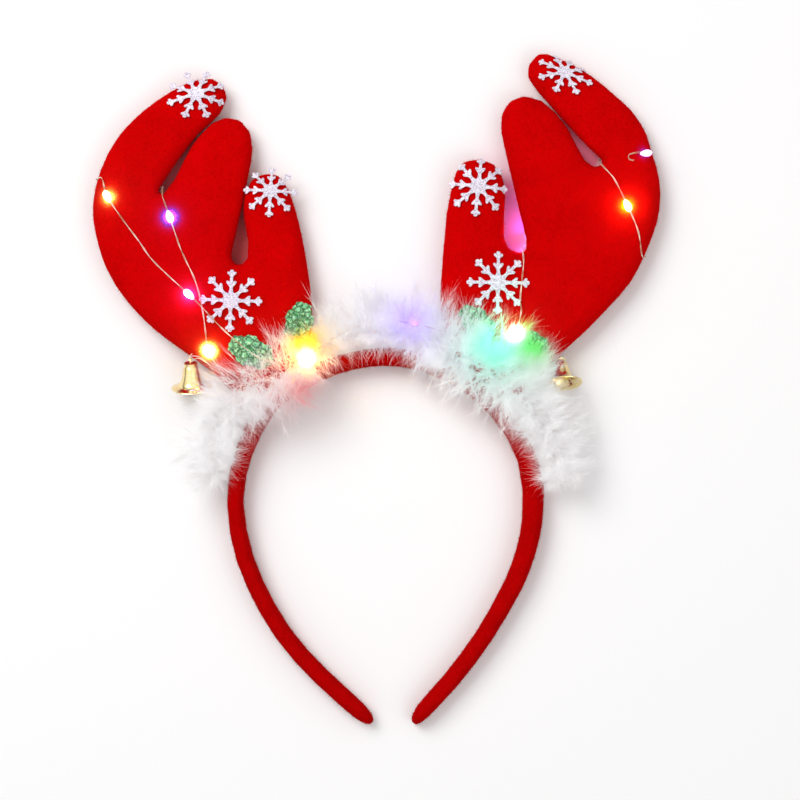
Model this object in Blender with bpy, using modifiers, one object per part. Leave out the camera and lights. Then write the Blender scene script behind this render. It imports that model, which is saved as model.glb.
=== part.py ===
# Light-up reindeer antler headband, lying on its back on a table, its trimmed front up.
# Tables are in millimetres. +Y points to the antler tips, +Z up from the table, which is z = 0,
# and +X to the right. Left and right are as seen from the front.

import math
from collections import namedtuple

import bmesh
import bpy
from mathutils import Matrix, Vector
from mathutils.bvhtree import BVHTree
from mathutils.geometry import delaunay_2d_cdt

MM = 0.001

# Gaps between pieces that touch on the real headband
SEAT_GAP = 0.3

# Velvet band: a padded strip on its edge, with a flat underside at z = 0
BandSection = namedtuple("BandSection", "x y thick height")
BAND_SECTIONS = [
    BandSection(-1.7, -150.6, 2.6, 5.0),
    BandSection(-3.4, -148.8, 5.8, 8.4),
    BandSection(-7.2, -145.3, 7.9, 10.0),
    BandSection(-14.5, -138.8, 8.4, 10.6),
    BandSection(-24.5, -129.6, 8.3, 11.0),
    BandSection(-34.0, -119.8, 8.3, 11.3),
    BandSection(-42.2, -109.6, 8.4, 11.6),
    BandSection(-49.0, -98.8, 8.5, 12.0),
    BandSection(-54.8, -87.4, 8.4, 12.3),
    BandSection(-59.3, -76.0, 8.4, 12.6),
    BandSection(-62.3, -63.5, 8.3, 12.8),
    BandSection(-63.6, -50.5, 8.0, 13.0),
    BandSection(-62.6, -38.5, 8.4, 13.0),
    BandSection(-59.8, -28.0, 8.6, 13.0),
    BandSection(-55.3, -17.5, 8.8, 13.0),
    BandSection(-48.3, -6.5, 9.0, 13.0),
    BandSection(-38.5, 2.0, 9.0, 13.0),
    BandSection(-26.0, 8.3, 8.8, 13.0),
    BandSection(-11.5, 13.0, 8.5, 13.0),
    BandSection(3.5, 15.0, 9.0, 13.0),
    BandSection(18.0, 13.2, 8.8, 13.0),
    BandSection(32.0, 8.2, 9.0, 13.0),
    BandSection(44.5, 0.8, 9.2, 13.0),
    BandSection(54.5, -8.3, 9.4, 13.0),
    BandSection(62.6, -19.0, 9.6, 13.0),
    BandSection(68.1, -31.0, 10.0, 13.0),
    BandSection(70.7, -45.0, 10.5, 13.0),
    BandSection(70.2, -59.0, 10.0, 12.8),
    BandSection(67.0, -74.0, 9.6, 12.6),
    BandSection(61.6, -88.0, 9.3, 12.3),
    BandSection(55.0, -100.2, 8.8, 12.0),
    BandSection(48.6, -110.8, 8.5, 11.6),
    BandSection(41.4, -121.0, 8.4, 11.3),
    BandSection(33.5, -131.0, 8.3, 11.0),
    BandSection(25.3, -140.0, 8.2, 10.6),
    BandSection(20.4, -145.4, 7.7, 10.0),
    BandSection(17.7, -149.0, 5.6, 8.4),
    BandSection(16.5, -150.8, 2.6, 5.0),
]
BAND_SIDES = 12
BAND_SQUARENESS = 2.7
BAND_STEP = 9.5

# Padded antlers: two sewn panels over a foam core, flat with a rounded edge
PAD_HALF = 6.0
PAD_EDGE = 10.0
PAD_POWER = 2.2
PAD_MID_AT_BAND = 9.3
PAD_BAND_Y = 10.0
PAD_LEAN = 0.0235
PAD_STEP = 6.6
PAD_RINGS = (0.9, 3.0, 6.2)
PAD_GRID = 10.5
PAD_FLAT_FROM = 9.0
# Share of a ring's inset that a point has to keep, or else the outline turns too tightly there
RING_KEPT = 0.93
# Points nearer than this are the same point
MERGE = 0.00001

# Outlines run up the outer edge, over the three tines and down the inner edge
OutlinePoint = namedtuple("OutlinePoint", "x y")
LEFT_OUTLINE = [
    OutlinePoint(-64.5, -1.5),
    OutlinePoint(-73.5, 7.0),
    OutlinePoint(-83.5, 14.8),
    OutlinePoint(-99.8, 27.0),
    OutlinePoint(-112.5, 40.2),
    OutlinePoint(-121.3, 54.0),
    OutlinePoint(-126.4, 70.0),
    OutlinePoint(-127.8, 83.0),
    OutlinePoint(-124.6, 98.5),
    OutlinePoint(-117.2, 113.2),
    OutlinePoint(-105.6, 125.6),
    OutlinePoint(-92.8, 134.8),
    OutlinePoint(-82.5, 139.8),
    OutlinePoint(-74.5, 140.6),
    OutlinePoint(-69.0, 137.4),
    OutlinePoint(-67.9, 131.8),
    OutlinePoint(-70.5, 125.4),
    OutlinePoint(-74.6, 121.0),
    OutlinePoint(-79.2, 116.4),
    OutlinePoint(-83.8, 111.0),
    OutlinePoint(-88.4, 105.0),
    OutlinePoint(-93.3, 97.8),
    OutlinePoint(-98.2, 90.4),
    OutlinePoint(-97.9, 88.1),
    OutlinePoint(-95.8, 88.4),
    OutlinePoint(-90.9, 95.2),
    OutlinePoint(-86.5, 103.8),
    OutlinePoint(-82.9, 110.3),
    OutlinePoint(-78.5, 115.8),
    OutlinePoint(-74.0, 120.2),
    OutlinePoint(-67.6, 122.8),
    OutlinePoint(-61.2, 121.4),
    OutlinePoint(-56.8, 116.0),
    OutlinePoint(-55.7, 108.5),
    OutlinePoint(-57.3, 97.5),
    OutlinePoint(-60.1, 84.5),
    OutlinePoint(-62.9, 71.5),
    OutlinePoint(-65.2, 60.0),
    OutlinePoint(-63.8, 56.5),
    OutlinePoint(-60.6, 56.2),
    OutlinePoint(-57.9, 58.8),
    OutlinePoint(-57.6, 67.0),
    OutlinePoint(-58.9, 75.5),
    OutlinePoint(-59.4, 81.5),
    OutlinePoint(-58.9, 87.0),
    OutlinePoint(-55.6, 94.5),
    OutlinePoint(-49.5, 97.8),
    OutlinePoint(-43.2, 96.2),
    OutlinePoint(-39.3, 90.5),
    OutlinePoint(-35.9, 80.5),
    OutlinePoint(-32.8, 67.5),
    OutlinePoint(-30.8, 55.0),
    OutlinePoint(-29.2, 43.0),
    OutlinePoint(-28.7, 31.0),
    OutlinePoint(-29.5, 20.0),
]
RIGHT_OUTLINE = [
    OutlinePoint(69.0, -1.0),
    OutlinePoint(75.6, 7.8),
    OutlinePoint(82.2, 15.0),
    OutlinePoint(92.5, 24.6),
    OutlinePoint(104.0, 36.4),
    OutlinePoint(114.7, 48.9),
    OutlinePoint(121.3, 62.0),
    OutlinePoint(126.5, 76.0),
    OutlinePoint(128.0, 89.0),
    OutlinePoint(126.4, 100.0),
    OutlinePoint(124.2, 106.5),
    OutlinePoint(121.9, 115.0),
    OutlinePoint(115.4, 125.4),
    OutlinePoint(106.5, 133.8),
    OutlinePoint(96.8, 141.8),
    OutlinePoint(86.6, 147.9),
    OutlinePoint(77.8, 151.6),
    OutlinePoint(72.2, 151.6),
    OutlinePoint(68.6, 147.6),
    OutlinePoint(68.6, 141.0),
    OutlinePoint(73.1, 134.5),
    OutlinePoint(80.1, 126.8),
    OutlinePoint(87.4, 118.4),
    OutlinePoint(95.2, 109.9),
    OutlinePoint(102.0, 103.4),
    OutlinePoint(101.3, 101.1),
    OutlinePoint(98.0, 100.7),
    OutlinePoint(94.2, 103.4),
    OutlinePoint(90.0, 110.5),
    OutlinePoint(86.1, 118.1),
    OutlinePoint(80.3, 125.3),
    OutlinePoint(74.3, 130.4),
    OutlinePoint(66.5, 132.6),
    OutlinePoint(60.2, 130.2),
    OutlinePoint(56.6, 124.8),
    OutlinePoint(56.1, 117.5),
    OutlinePoint(58.0, 107.5),
    OutlinePoint(61.0, 94.5),
    OutlinePoint(64.2, 80.5),
    OutlinePoint(67.3, 67.5),
    OutlinePoint(67.2, 62.4),
    OutlinePoint(63.8, 61.6),
    OutlinePoint(59.2, 63.7),
    OutlinePoint(57.3, 68.5),
    OutlinePoint(57.2, 78.0),
    OutlinePoint(57.6, 87.5),
    OutlinePoint(56.4, 95.4),
    OutlinePoint(52.4, 101.6),
    OutlinePoint(46.0, 103.9),
    OutlinePoint(39.2, 102.8),
    OutlinePoint(35.2, 98.0),
    OutlinePoint(33.1, 89.5),
    OutlinePoint(31.2, 79.0),
    OutlinePoint(30.2, 67.0),
    OutlinePoint(29.2, 54.0),
    OutlinePoint(28.6, 42.0),
    OutlinePoint(29.4, 30.0),
    OutlinePoint(31.8, 20.5),
]
# Where each antler is glued along the band's outer side, from the inner to the outer end
LEFT_SEAT_X = (-31.0, -56.5)
RIGHT_SEAT_X = (34.5, 62.0)
SEAT_ABOVE_Y = -25.0

# Glitter snowflakes: eight arms, each with a pair of barbs and a three-lobed end. They follow the
# padding, and on the round tips less of their height is left seen from above.
Snowflake = namedtuple("Snowflake", "name x y turn height_seen")
SNOWFLAKES = [
    Snowflake("snowflake_left_outer", -81.6, 132.2, 22.5, 0.72),
    Snowflake("snowflake_left_inner", -48.2, 88.9, -3.0, 0.86),
    Snowflake("snowflake_left_palm", -65.4, 40.0, -2.0, 1.0),
    Snowflake("snowflake_right_outer", 84.6, 142.6, 20.0, 0.71),
    Snowflake("snowflake_right_inner", 46.2, 91.4, -6.0, 0.92),
    Snowflake("snowflake_right_palm", 54.7, 48.2, -1.0, 1.0),
]
FLAKE_THICK = 0.8
FLAKE_ARMS = 8
FLAKE_HUB = 3.0
# One side of an arm: distance from the centre and half width
ArmPoint = namedtuple("ArmPoint", "out wide")
FLAKE_ARM = [
    ArmPoint(5.2, 0.65),
    ArmPoint(8.0, 2.1),
    ArmPoint(8.3, 0.65),
    ArmPoint(11.0, 0.65),
    ArmPoint(12.4, 2.0),
]
FLAKE_REACH = 13.5
FLAKE_LIFT = 0.5
FLAKE_LEAST_RISE = 4.2

# Glitter holly leaves: centre, direction of the tip in degrees, length and width
Leaf = namedtuple("Leaf", "name x y turn long wide")
LEAVES = [
    Leaf("holly_leaf_left_side", -57.0, 17.6, 155.0, 22.0, 14.0),
    Leaf("holly_leaf_left_upper", -34.6, 30.0, 75.0, 20.0, 14.0),
    Leaf("holly_leaf_right_upper", 45.2, 30.2, 138.0, 20.0, 13.0),
    Leaf("holly_leaf_right_side", 67.6, 20.6, -6.0, 19.0, 13.0),
]
LEAF_THICK = 0.9
LEAF_POINTS = 28
LEAF_LOBES = 3.5
LEAF_LOBE_DEPTH = 0.16
# A spine is shorter along the leaf than across it
LEAF_LOBE_ALONG = 0.4

# Small bells: mouth centre, lean of the axis towards the viewer, and the way the crown points
Bell = namedtuple("Bell", "name x y z lean turn")
BELLS = [
    Bell("bell_left", -83.0, 0.8, 8.6, 20.0, 91.0),
    Bell("bell_right", 84.4, 2.6, 8.6, -21.0, 95.0),
]
# Half of a bell's section, from the crown down the outside and back up the inside
BellPoint = namedtuple("BellPoint", "radius up")
BELL_PROFILE = [
    BellPoint(0.0, 12.2),
    BellPoint(2.8, 12.0),
    BellPoint(2.7, 11.0),
    BellPoint(3.2, 10.4),
    BellPoint(4.5, 3.8),
    BellPoint(5.4, 2.1),
    BellPoint(7.5, 0.9),
    BellPoint(9.0, 0.3),
    BellPoint(8.4, 0.0),
    BellPoint(4.7, 1.6),
    BellPoint(3.8, 4.0),
    BellPoint(2.4, 10.5),
    BellPoint(0.0, 11.0),
]
BELL_SIDES = 12
EYELET_RING = 1.25
EYELET_WIRE = 0.4
EYELET_RISE = 1.3
EYELET_SEGMENTS = 9
EYELET_SIDES = 5

# Light string: one wire that winds over both antlers, with ten drilled resin beads on it
WIRE_RADIUS = 0.3
WIRE_LIFT = 0.7
WIRE_STEP = 7.5
# Stations of a wrap round an antler's edge, and the least share of it that runs straight inwards
WRAP_DEGREES = (64, 36, 12, -12, -36, -64)
WRAP_SLANT = 0.6
BEAD_LIFT = 2.0
BEAD_STRAIGHT = 3.6
BEAD_BORE = 0.6
BeadPoint = namedtuple("BeadPoint", "radius along")
BEAD_PROFILE = [
    BeadPoint(0.95, 3.0),
    BeadPoint(1.6, 1.2),
    BeadPoint(1.6, -1.0),
    BeadPoint(0.95, -3.0),
]
BEAD_SIDES = 10

# place is front or back of the antler, edge where the wire goes round it, or air. up is the
# height over the velvet, or over the table for air. bead is the colour of a bead there.
WirePoint = namedtuple("WirePoint", "x y place up bead")


def on_front(x, y, up=WIRE_LIFT, bead=None):
    return WirePoint(x, y, "front", up, bead)


def on_back(x, y, up=WIRE_LIFT, bead=None):
    return WirePoint(x, y, "back", up, bead)


def round_edge(x, y, up=WIRE_LIFT):
    return WirePoint(x, y, "edge", up, None)


def through_air(x, y, up, bead=None):
    return WirePoint(x, y, "air", up, bead)


OVER_TRIM = 2.2
UNDER_TIP = 0.62
EDGE_BEAD_LIFT = 2.7
WIRE_ROUTE = [
    on_front(-71.2, 11.0, 1.4),
    on_front(-75.0, 17.2, BEAD_LIFT, "yellow"),
    on_front(-76.2, 25.5, 1.2),
    on_front(-76.9, 32.0, OVER_TRIM),
    on_front(-77.9, 37.6, OVER_TRIM),
    on_front(-79.3, 44.0, OVER_TRIM),
    on_front(-81.8, 51.0),
    on_front(-85.2, 58.0),
    on_front(-88.2, 65.0),
    on_front(-92.3, 77.4, BEAD_LIFT, "violet"),
    on_front(-94.9, 84.2, 1.0),
    on_front(-95.9, 87.4, 1.0),
    through_air(-96.1, 90.8, 10.4),
    through_air(-96.1, 91.5, 7.0),
    through_air(-96.6, 91.7, 3.6),
    on_back(-100.6, 91.6, 0.9),
    on_back(-106.0, 92.2, 0.9),
    on_back(-113.0, 93.3),
    round_edge(-125.6, 94.8),
    on_front(-120.2, 86.4, BEAD_LIFT, "yellow"),
    on_front(-112.8, 75.4),
    on_front(-106.2, 66.6),
    on_front(-101.2, 59.4),
    on_front(-95.0, 53.0),
    on_front(-83.6, 42.6, BEAD_LIFT, "magenta"),
    on_front(-77.6, 36.8, 2.3),
    on_front(-73.6, 32.4, OVER_TRIM),
    on_front(-69.6, 28.2, 1.6),
    on_front(-64.6, 23.6, 2.2),
    on_front(-58.5, 18.6, 2.2),
    on_front(-52.5, 14.6, 2.6),
    through_air(-46.5, 12.6, 18.6),
    through_air(-40.0, 12.2, 20.8),
    through_air(-31.6, 14.2, 22.4, "yellow"),
    through_air(-21.5, 21.4, 18.6),
    through_air(-10.0, 28.0, 14.6),
    through_air(3.0, 31.0, 12.8),
    through_air(17.0, 29.6, 13.0, "violet"),
    through_air(28.5, 26.4, 17.0),
    through_air(39.0, 22.8, 19.4),
    through_air(51.0, 22.8, 19.8),
    through_air(61.4, 26.6, 18.6, "green"),
    on_front(64.6, 34.6, 2.0),
    on_front(64.2, 40.0, OVER_TRIM),
    on_front(64.7, 46.0, OVER_TRIM),
    on_front(65.3, 52.0, OVER_TRIM),
    on_front(65.9, 57.6, 1.1),
    on_front(65.7, 60.4, 1.1),
    through_air(65.3, 63.4, 10.4),
    through_air(65.2, 64.2, 6.6),
    through_air(66.8, 65.6, 3.0),
    through_air(67.4, 70.2, 1.8, "violet"),
    on_back(67.8, 77.4, 1.0),
    on_back(73.4, 80.6),
    on_back(83.0, 78.8),
    on_back(96.0, 71.6),
    on_back(107.0, 64.6),
    round_edge(120.2, 60.2),
    on_front(117.2, 70.8),
    on_front(112.2, 82.4, BEAD_LIFT, "orange"),
    on_front(107.0, 93.6),
    on_front(104.5, 97.0, 1.0),
    on_front(102.0, 99.9, 1.0),
    through_air(100.0, 102.6, 9.6),
    through_air(99.9, 103.2, 6.6),
    through_air(101.2, 104.0, 3.0),
    on_back(106.0, 105.0, UNDER_TIP),
    on_back(114.5, 106.2, UNDER_TIP),
    on_back(121.4, 106.4, 1.0),
    through_air(125.3, 106.5, 4.4),
    through_air(126.2, 106.7, 8.4),
    on_front(120.6, 106.7, EDGE_BEAD_LIFT, "violet"),
    on_front(113.6, 105.6, 1.2),
    on_front(113.2, 103.4),
    on_front(115.4, 102.8),
]

# Feather trim: a cord with locks of marabou, glued along the band and over the antlers' feet
TrimPoint = namedtuple("TrimPoint", "x y z reach")
TRIM_CORE = [
    TrimPoint(-72.5, -38.0, 7.5, 13.0),
    TrimPoint(-71.5, -23.0, 8.5, 17.0),
    TrimPoint(-67.6, -8.6, 12.0, 18.0),
    TrimPoint(-58.5, 2.2, 17.4, 20.0),
    TrimPoint(-45.5, 7.6, 17.8, 21.0),
    TrimPoint(-34.0, 12.0, 17.2, 19.0),
    TrimPoint(-24.6, 18.6, 12.8, 20.0),
    TrimPoint(-12.0, 23.2, 9.6, 23.0),
    TrimPoint(4.0, 25.4, 8.6, 24.0),
    TrimPoint(19.0, 23.6, 9.6, 24.0),
    TrimPoint(30.6, 18.6, 13.4, 24.0),
    TrimPoint(41.0, 12.8, 17.4, 25.0),
    TrimPoint(53.0, 6.4, 17.8, 22.0),
    TrimPoint(65.0, -2.2, 17.0, 19.0),
    TrimPoint(73.4, -12.4, 12.2, 18.0),
    TrimPoint(80.0, -25.0, 8.6, 17.0),
    TrimPoint(83.4, -38.6, 7.5, 13.0),
]
CORE_RADIUS = 2.2
CORE_SIDES = 5
CORE_STEP = 11.5
LOCK_SIDES = 4
# Half thickness at the root, belly and tip, and how much wider than thick a lock is
LOCK_THICK = (1.5, 2.6, 0.5)
LOCK_SPREAD = 2.1
LOCK_BELLY_AT = 0.45
LOCK_DROOP = 0.12
LOCK_CLEARANCE = 0.4
LOCK_TESTS = 5
LOCK_TESTS_ACROSS = (-1.0, -0.5, 0.0, 0.5, 1.0)
# A path steeper than this share of level has its side taken from +Y
STEEP = 0.2
# Neighbouring locks differ a little in length and in lean along the cord, in a slow wave
LOCK_UNEVEN = 0.1
LOCK_LEAN = 18.0
LOCK_WAVE = 1.9
LOCK_WAVE_ROUND = 2.3
# A lock that meets another piece tries these turns round the cord, then these shares of its length
LOCK_TURNS = (0.0, 12.0, -12.0, 25.0, -25.0, 40.0, -40.0, 58.0, -58.0)
LOCK_SHORTENINGS = (1.0, 0.8, 0.62)
# Directions round the cord: 0 points away from the head in the table's plane, 90 straight up
EVEN_LOCKS = (4.0, 62.0, 128.0, 180.0)
ODD_LOCKS = (-14.0, 32.0, 96.0)

COLOURS = {
    "velvet": ((0.62, 0.0, 0.005), 0.9, 0.0),
    "glitter_white": ((0.86, 0.85, 0.95), 0.45, 0.0),
    "glitter_green": ((0.05, 0.42, 0.12), 0.4, 0.0),
    "gold": ((0.83, 0.66, 0.28), 0.2, 1.0),
    "wire": ((0.75, 0.62, 0.5), 0.35, 1.0),
    "feather": ((0.92, 0.91, 0.92), 0.8, 0.0),
    "bead_yellow": ((1.0, 0.8, 0.2), 0.2, 0.0),
    "bead_orange": ((1.0, 0.45, 0.1), 0.2, 0.0),
    "bead_violet": ((0.65, 0.35, 1.0), 0.2, 0.0),
    "bead_magenta": ((1.0, 0.3, 0.8), 0.2, 0.0),
    "bead_green": ((0.6, 1.0, 0.75), 0.2, 0.0),
}


# Scene and object helpers
def clear_scene():
    for obj in list(bpy.data.objects):
        bpy.data.objects.remove(obj)


def new_collection(name):
    collection = bpy.data.collections.new(name)
    bpy.context.scene.collection.children.link(collection)
    return collection


def new_material(name):
    colour, roughness, metallic = COLOURS[name]
    material = bpy.data.materials.new(name)
    material.use_nodes = True
    shader = material.node_tree.nodes["Principled BSDF"]
    shader.inputs["Base Color"].default_value = (*colour, 1.0)
    shader.inputs["Roughness"].default_value = roughness
    shader.inputs["Metallic"].default_value = metallic
    return material


def add_object(name, data, material, collection):
    obj = bpy.data.objects.new(name, data)
    obj.data.materials.append(material)
    collection.objects.link(obj)
    return obj


def finish_mesh(bm, name, sharp_angle=40.0):
    bmesh.ops.recalc_face_normals(bm, faces=bm.faces)
    mesh = bpy.data.meshes.new(name)
    bm.to_mesh(mesh)
    bm.free()
    mesh.shade_smooth()
    mesh.set_sharp_from_angle(angle=math.radians(sharp_angle))
    return mesh


# Curves and lengths
def smooth_path(points, step, straight=()):
    """Points along a smooth curve through the given ones, about a step apart. The spans whose
    index is in straight stay straight."""
    points = [Vector(p) for p in points]
    knots = [0.0]
    for a, b in zip(points, points[1:]):
        knots.append(knots[-1] + math.sqrt((b - a).length))
    slopes = []
    for i in range(len(points)):
        low, high = max(i - 1, 0), min(i + 1, len(points) - 1)
        slopes.append((points[high] - points[low]) / (knots[high] - knots[low]))
    path = []
    for i, (a, b) in enumerate(zip(points, points[1:])):
        span = knots[i + 1] - knots[i]
        pieces = 1 if i in straight else max(1, round((b - a).length / step))
        for k in range(pieces):
            t = k / pieces
            path.append(
                a * (2 * t**3 - 3 * t**2 + 1)
                + slopes[i] * span * (t**3 - 2 * t**2 + t)
                + b * (3 * t**2 - 2 * t**3)
                + slopes[i + 1] * span * (t**3 - t**2)
            )
    path.append(points[-1])
    return path


def direction_at(path, i):
    return (path[min(i + 1, len(path) - 1)] - path[max(i - 1, 0)]).normalized()


def superellipse(angle, power):
    """Point on a unit superellipse."""
    c, s = math.cos(angle), math.sin(angle)
    return (
        math.copysign(abs(c) ** (2 / power), c),
        math.copysign(abs(s) ** (2 / power), s),
    )


# Rings of points joined into a closed solid
def lofted(name, rings):
    bm = bmesh.new()
    loops = [[bm.verts.new(Vector(p) * MM) for p in ring] for ring in rings]
    sides = len(rings[0])
    for low, high in zip(loops, loops[1:]):
        for k in range(sides):
            after = (k + 1) % sides
            bm.faces.new((low[k], low[after], high[after], high[k]))
    bm.faces.new(list(reversed(loops[0])))
    bm.faces.new(loops[-1])
    return finish_mesh(bm, name)


# Velvet band
def band_path():
    return smooth_path([tuple(section) for section in BAND_SECTIONS], BAND_STEP)


def band_normals(path):
    normals = []
    for i in range(len(path)):
        ahead = path[min(i + 1, len(path) - 1)].to_2d() - path[max(i - 1, 0)].to_2d()
        normals.append(Vector((-ahead.y, ahead.x)).normalized())
    return normals


def make_band():
    path = band_path()
    first_angle = math.pi / BAND_SIDES
    lowest = abs(superellipse(math.pi / 2 - first_angle, BAND_SQUARENESS)[1])
    rings = []
    for (x, y, thick, height), normal in zip(path, band_normals(path)):
        ring = []
        for k in range(BAND_SIDES):
            across, up = superellipse(first_angle + 2 * math.pi * k / BAND_SIDES, BAND_SQUARENESS)
            ring.append(
                (
                    x + normal.x * across * thick / 2,
                    y + normal.y * across * thick / 2,
                    (up + lowest) * height / (2 * lowest),
                )
            )
        rings.append(ring)
    return lofted("velvet_band", rings)


def seat_points(seat_x):
    """The band's outer side between two values of x, moved out by the seat gap."""
    path = band_path()
    outer = []
    for section, normal in zip(path, band_normals(path)):
        outer.append(section.to_2d() + normal * (section.z / 2 + SEAT_GAP))
    low, high = sorted(seat_x)
    inside = [p for p in outer if low < p.x < high and p.y > SEAT_ABOVE_Y]
    return sorted(inside, key=lambda p: p.x, reverse=seat_x[0] > seat_x[1])


# Padded antlers
def antler_outline(hand_points, seat_x):
    free = smooth_path([(p.x, p.y, 0.0) for p in hand_points], PAD_STEP)
    return [p.to_2d() for p in free] + seat_points(seat_x)


def pad_middle(y):
    """Height of the antlers' middle plane, which leans down to the table at the tips."""
    return PAD_MID_AT_BAND - PAD_LEAN * (y - PAD_BAND_Y)


def pad_bulge(inset, spare=0.0):
    """Half thickness of the padding at a distance inside its edge, grown by spare all round."""
    share = min(max(inset + spare, 0.0) / (PAD_EDGE + spare), 1.0)
    return (PAD_HALF + spare) * (1 - (1 - share) ** PAD_POWER) ** (1 / PAD_POWER)


def nearest_on_outline(point, outline):
    """Nearest outline point, the distance to it, and whether the point is inside."""
    best, nearest, crossings = 1e9, None, 0
    for a, b in zip(outline, outline[1:] + outline[:1]):
        along = b - a
        share = min(max((point - a).dot(along) / along.length_squared, 0.0), 1.0)
        candidate = a + along * share
        if (candidate - point).length < best:
            best, nearest = (candidate - point).length, candidate
        if (a.y > point.y) != (b.y > point.y):
            if point.x < a.x + (point.y - a.y) / (b.y - a.y) * (b.x - a.x):
                crossings += 1
    return nearest, best, crossings % 2 == 1


def inset_of(point, outline):
    _, distance, inside = nearest_on_outline(point, outline)
    return distance if inside else -distance


def inward_at(outline, i):
    """Direction from an outline point towards the inside."""
    ahead = outline[(i + 1) % len(outline)] - outline[i - 1]
    inward = Vector((-ahead.y, ahead.x)).normalized()
    area = sum(a.cross(b) for a, b in zip(outline, outline[1:] + outline[:1]))
    return inward if area > 0 else -inward


def ring_points(outline, inset):
    """Points at one distance inside the outline, left out where it turns too tightly for them."""
    points = []
    for i, p in enumerate(outline):
        candidate = p + inward_at(outline, i) * inset
        if inset_of(candidate, outline) > RING_KEPT * inset:
            points.append(candidate)
    return points


def pad_points(outline):
    """Points inside an antler's outline: rings near its edge and a staggered grid on the flat."""
    inner = []
    for inset in PAD_RINGS:
        inner += ring_points(outline, inset)
    left, low = min(p.x for p in outline), min(p.y for p in outline)
    width, height = max(p.x for p in outline) - left, max(p.y for p in outline) - low
    for row in range(1, int(height / PAD_GRID) + 1):
        for column in range(int(width / PAD_GRID) + 1):
            p = Vector((left + (column + 0.5 * (row % 2)) * PAD_GRID, low + row * PAD_GRID))
            if inset_of(p, outline) > PAD_FLAT_FROM:
                inner.append(p)
    return inner


def pad_triangles(outline, inner):
    """Points and triangles over an antler. A triangle between three points of the rim would have
    no thickness, so its middle becomes a point of its own."""
    rim = len(outline)
    edges = [(i, (i + 1) % rim) for i in range(rim)]
    while True:
        points, _, triangles, _, _, _ = delaunay_2d_cdt(outline + inner, edges, [], 1, MERGE)
        flat = [t for t in triangles if max(t) < rim]
        if not flat:
            return points, triangles
        inner = inner + [sum((outline[k] for k in t), Vector((0, 0))) / 3 for t in flat]


def make_antler(name, outline):
    rim = len(outline)
    points, triangles = pad_triangles(outline, pad_points(outline))
    bm = bmesh.new()
    front, back = [], []
    for i, (x, y) in enumerate(points):
        bulge = pad_bulge(inset_of(Vector((x, y)), outline)) if i >= rim else 0.0
        middle = pad_middle(y)
        front.append(bm.verts.new(Vector((x, y, middle + bulge)) * MM))
        back.append(bm.verts.new(Vector((x, y, middle - bulge)) * MM) if i >= rim else front[i])
    for a, b, c in triangles:
        bm.faces.new((front[a], front[b], front[c]))
        bm.faces.new((back[c], back[b], back[a]))
    return finish_mesh(bm, name)


# Thin trimmings lie on the antlers' front
def flat_on_front(point, _):
    """Height of a stiff trimming, which rests on the highest part of the padding."""
    return pad_middle(point.y) + PAD_HALF + SEAT_GAP


def bent_on_front(point, outline):
    """Height of a limp trimming, which follows the padding down to where it stands off the edge."""
    bulge = pad_bulge(inset_of(point, outline), FLAKE_LIFT)
    return pad_middle(point.y) + max(bulge, FLAKE_LEAST_RISE)


def make_plate(name, shape, inner, thick, height_at, antler):
    """A thin plate laid on an antler, from its outline and some points inside it."""
    rim = len(shape)
    edges = [(i, (i + 1) % rim) for i in range(rim)]
    points, _, triangles, _, _, _ = delaunay_2d_cdt(shape + inner, edges, [], 1, MERGE)
    bm = bmesh.new()
    low, high = [], []
    for p in points:
        height = height_at(p, antler)
        low.append(bm.verts.new(Vector((p.x, p.y, height)) * MM))
        high.append(bm.verts.new(Vector((p.x, p.y, height + thick)) * MM))
    for a, b, c in triangles:
        bm.faces.new((high[a], high[b], high[c]))
        bm.faces.new((low[c], low[b], low[a]))
    for a, b in edges:
        bm.faces.new((low[a], low[b], high[b], high[a]))
    return finish_mesh(bm, name)


def placed(shape, x, y, turn, height_seen=1.0):
    """A flat shape turned, flattened in y to what is seen of its height, and moved to its place."""
    turned_shape = [Matrix.Rotation(math.radians(turn), 2) @ Vector(p) for p in shape]
    return [Vector((x + p.x, y + p.y * height_seen)) for p in turned_shape]


def snowflake_outline():
    """Out along one side of each arm, back along the other, and in to the hub between arms."""
    arm = [(p.out, -p.wide) for p in FLAKE_ARM] + [(FLAKE_REACH, 0)]
    arm += [(p.out, p.wide) for p in reversed(FLAKE_ARM)]
    outline = []
    for k in range(FLAKE_ARMS):
        turn = Matrix.Rotation(2 * math.pi * k / FLAKE_ARMS, 2)
        valley = Matrix.Rotation(2 * math.pi * (k + 0.5) / FLAKE_ARMS, 2)
        outline += [turn @ Vector(p) for p in arm]
        outline.append(valley @ Vector((FLAKE_HUB, 0)))
    return outline


def leaf_outline(long, wide):
    """A holly leaf's edge: an ellipse drawn in between its spines."""
    outline = []
    for k in range(LEAF_POINTS):
        angle = 2 * math.pi * k / LEAF_POINTS
        bite = LEAF_LOBE_DEPTH * (1 + math.cos(2 * LEAF_LOBES * angle)) / 2
        outline.append(
            (
                long / 2 * math.cos(angle) * (1 - LEAF_LOBE_ALONG * bite),
                wide / 2 * math.sin(angle) * (1 - bite),
            )
        )
    return outline


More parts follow.
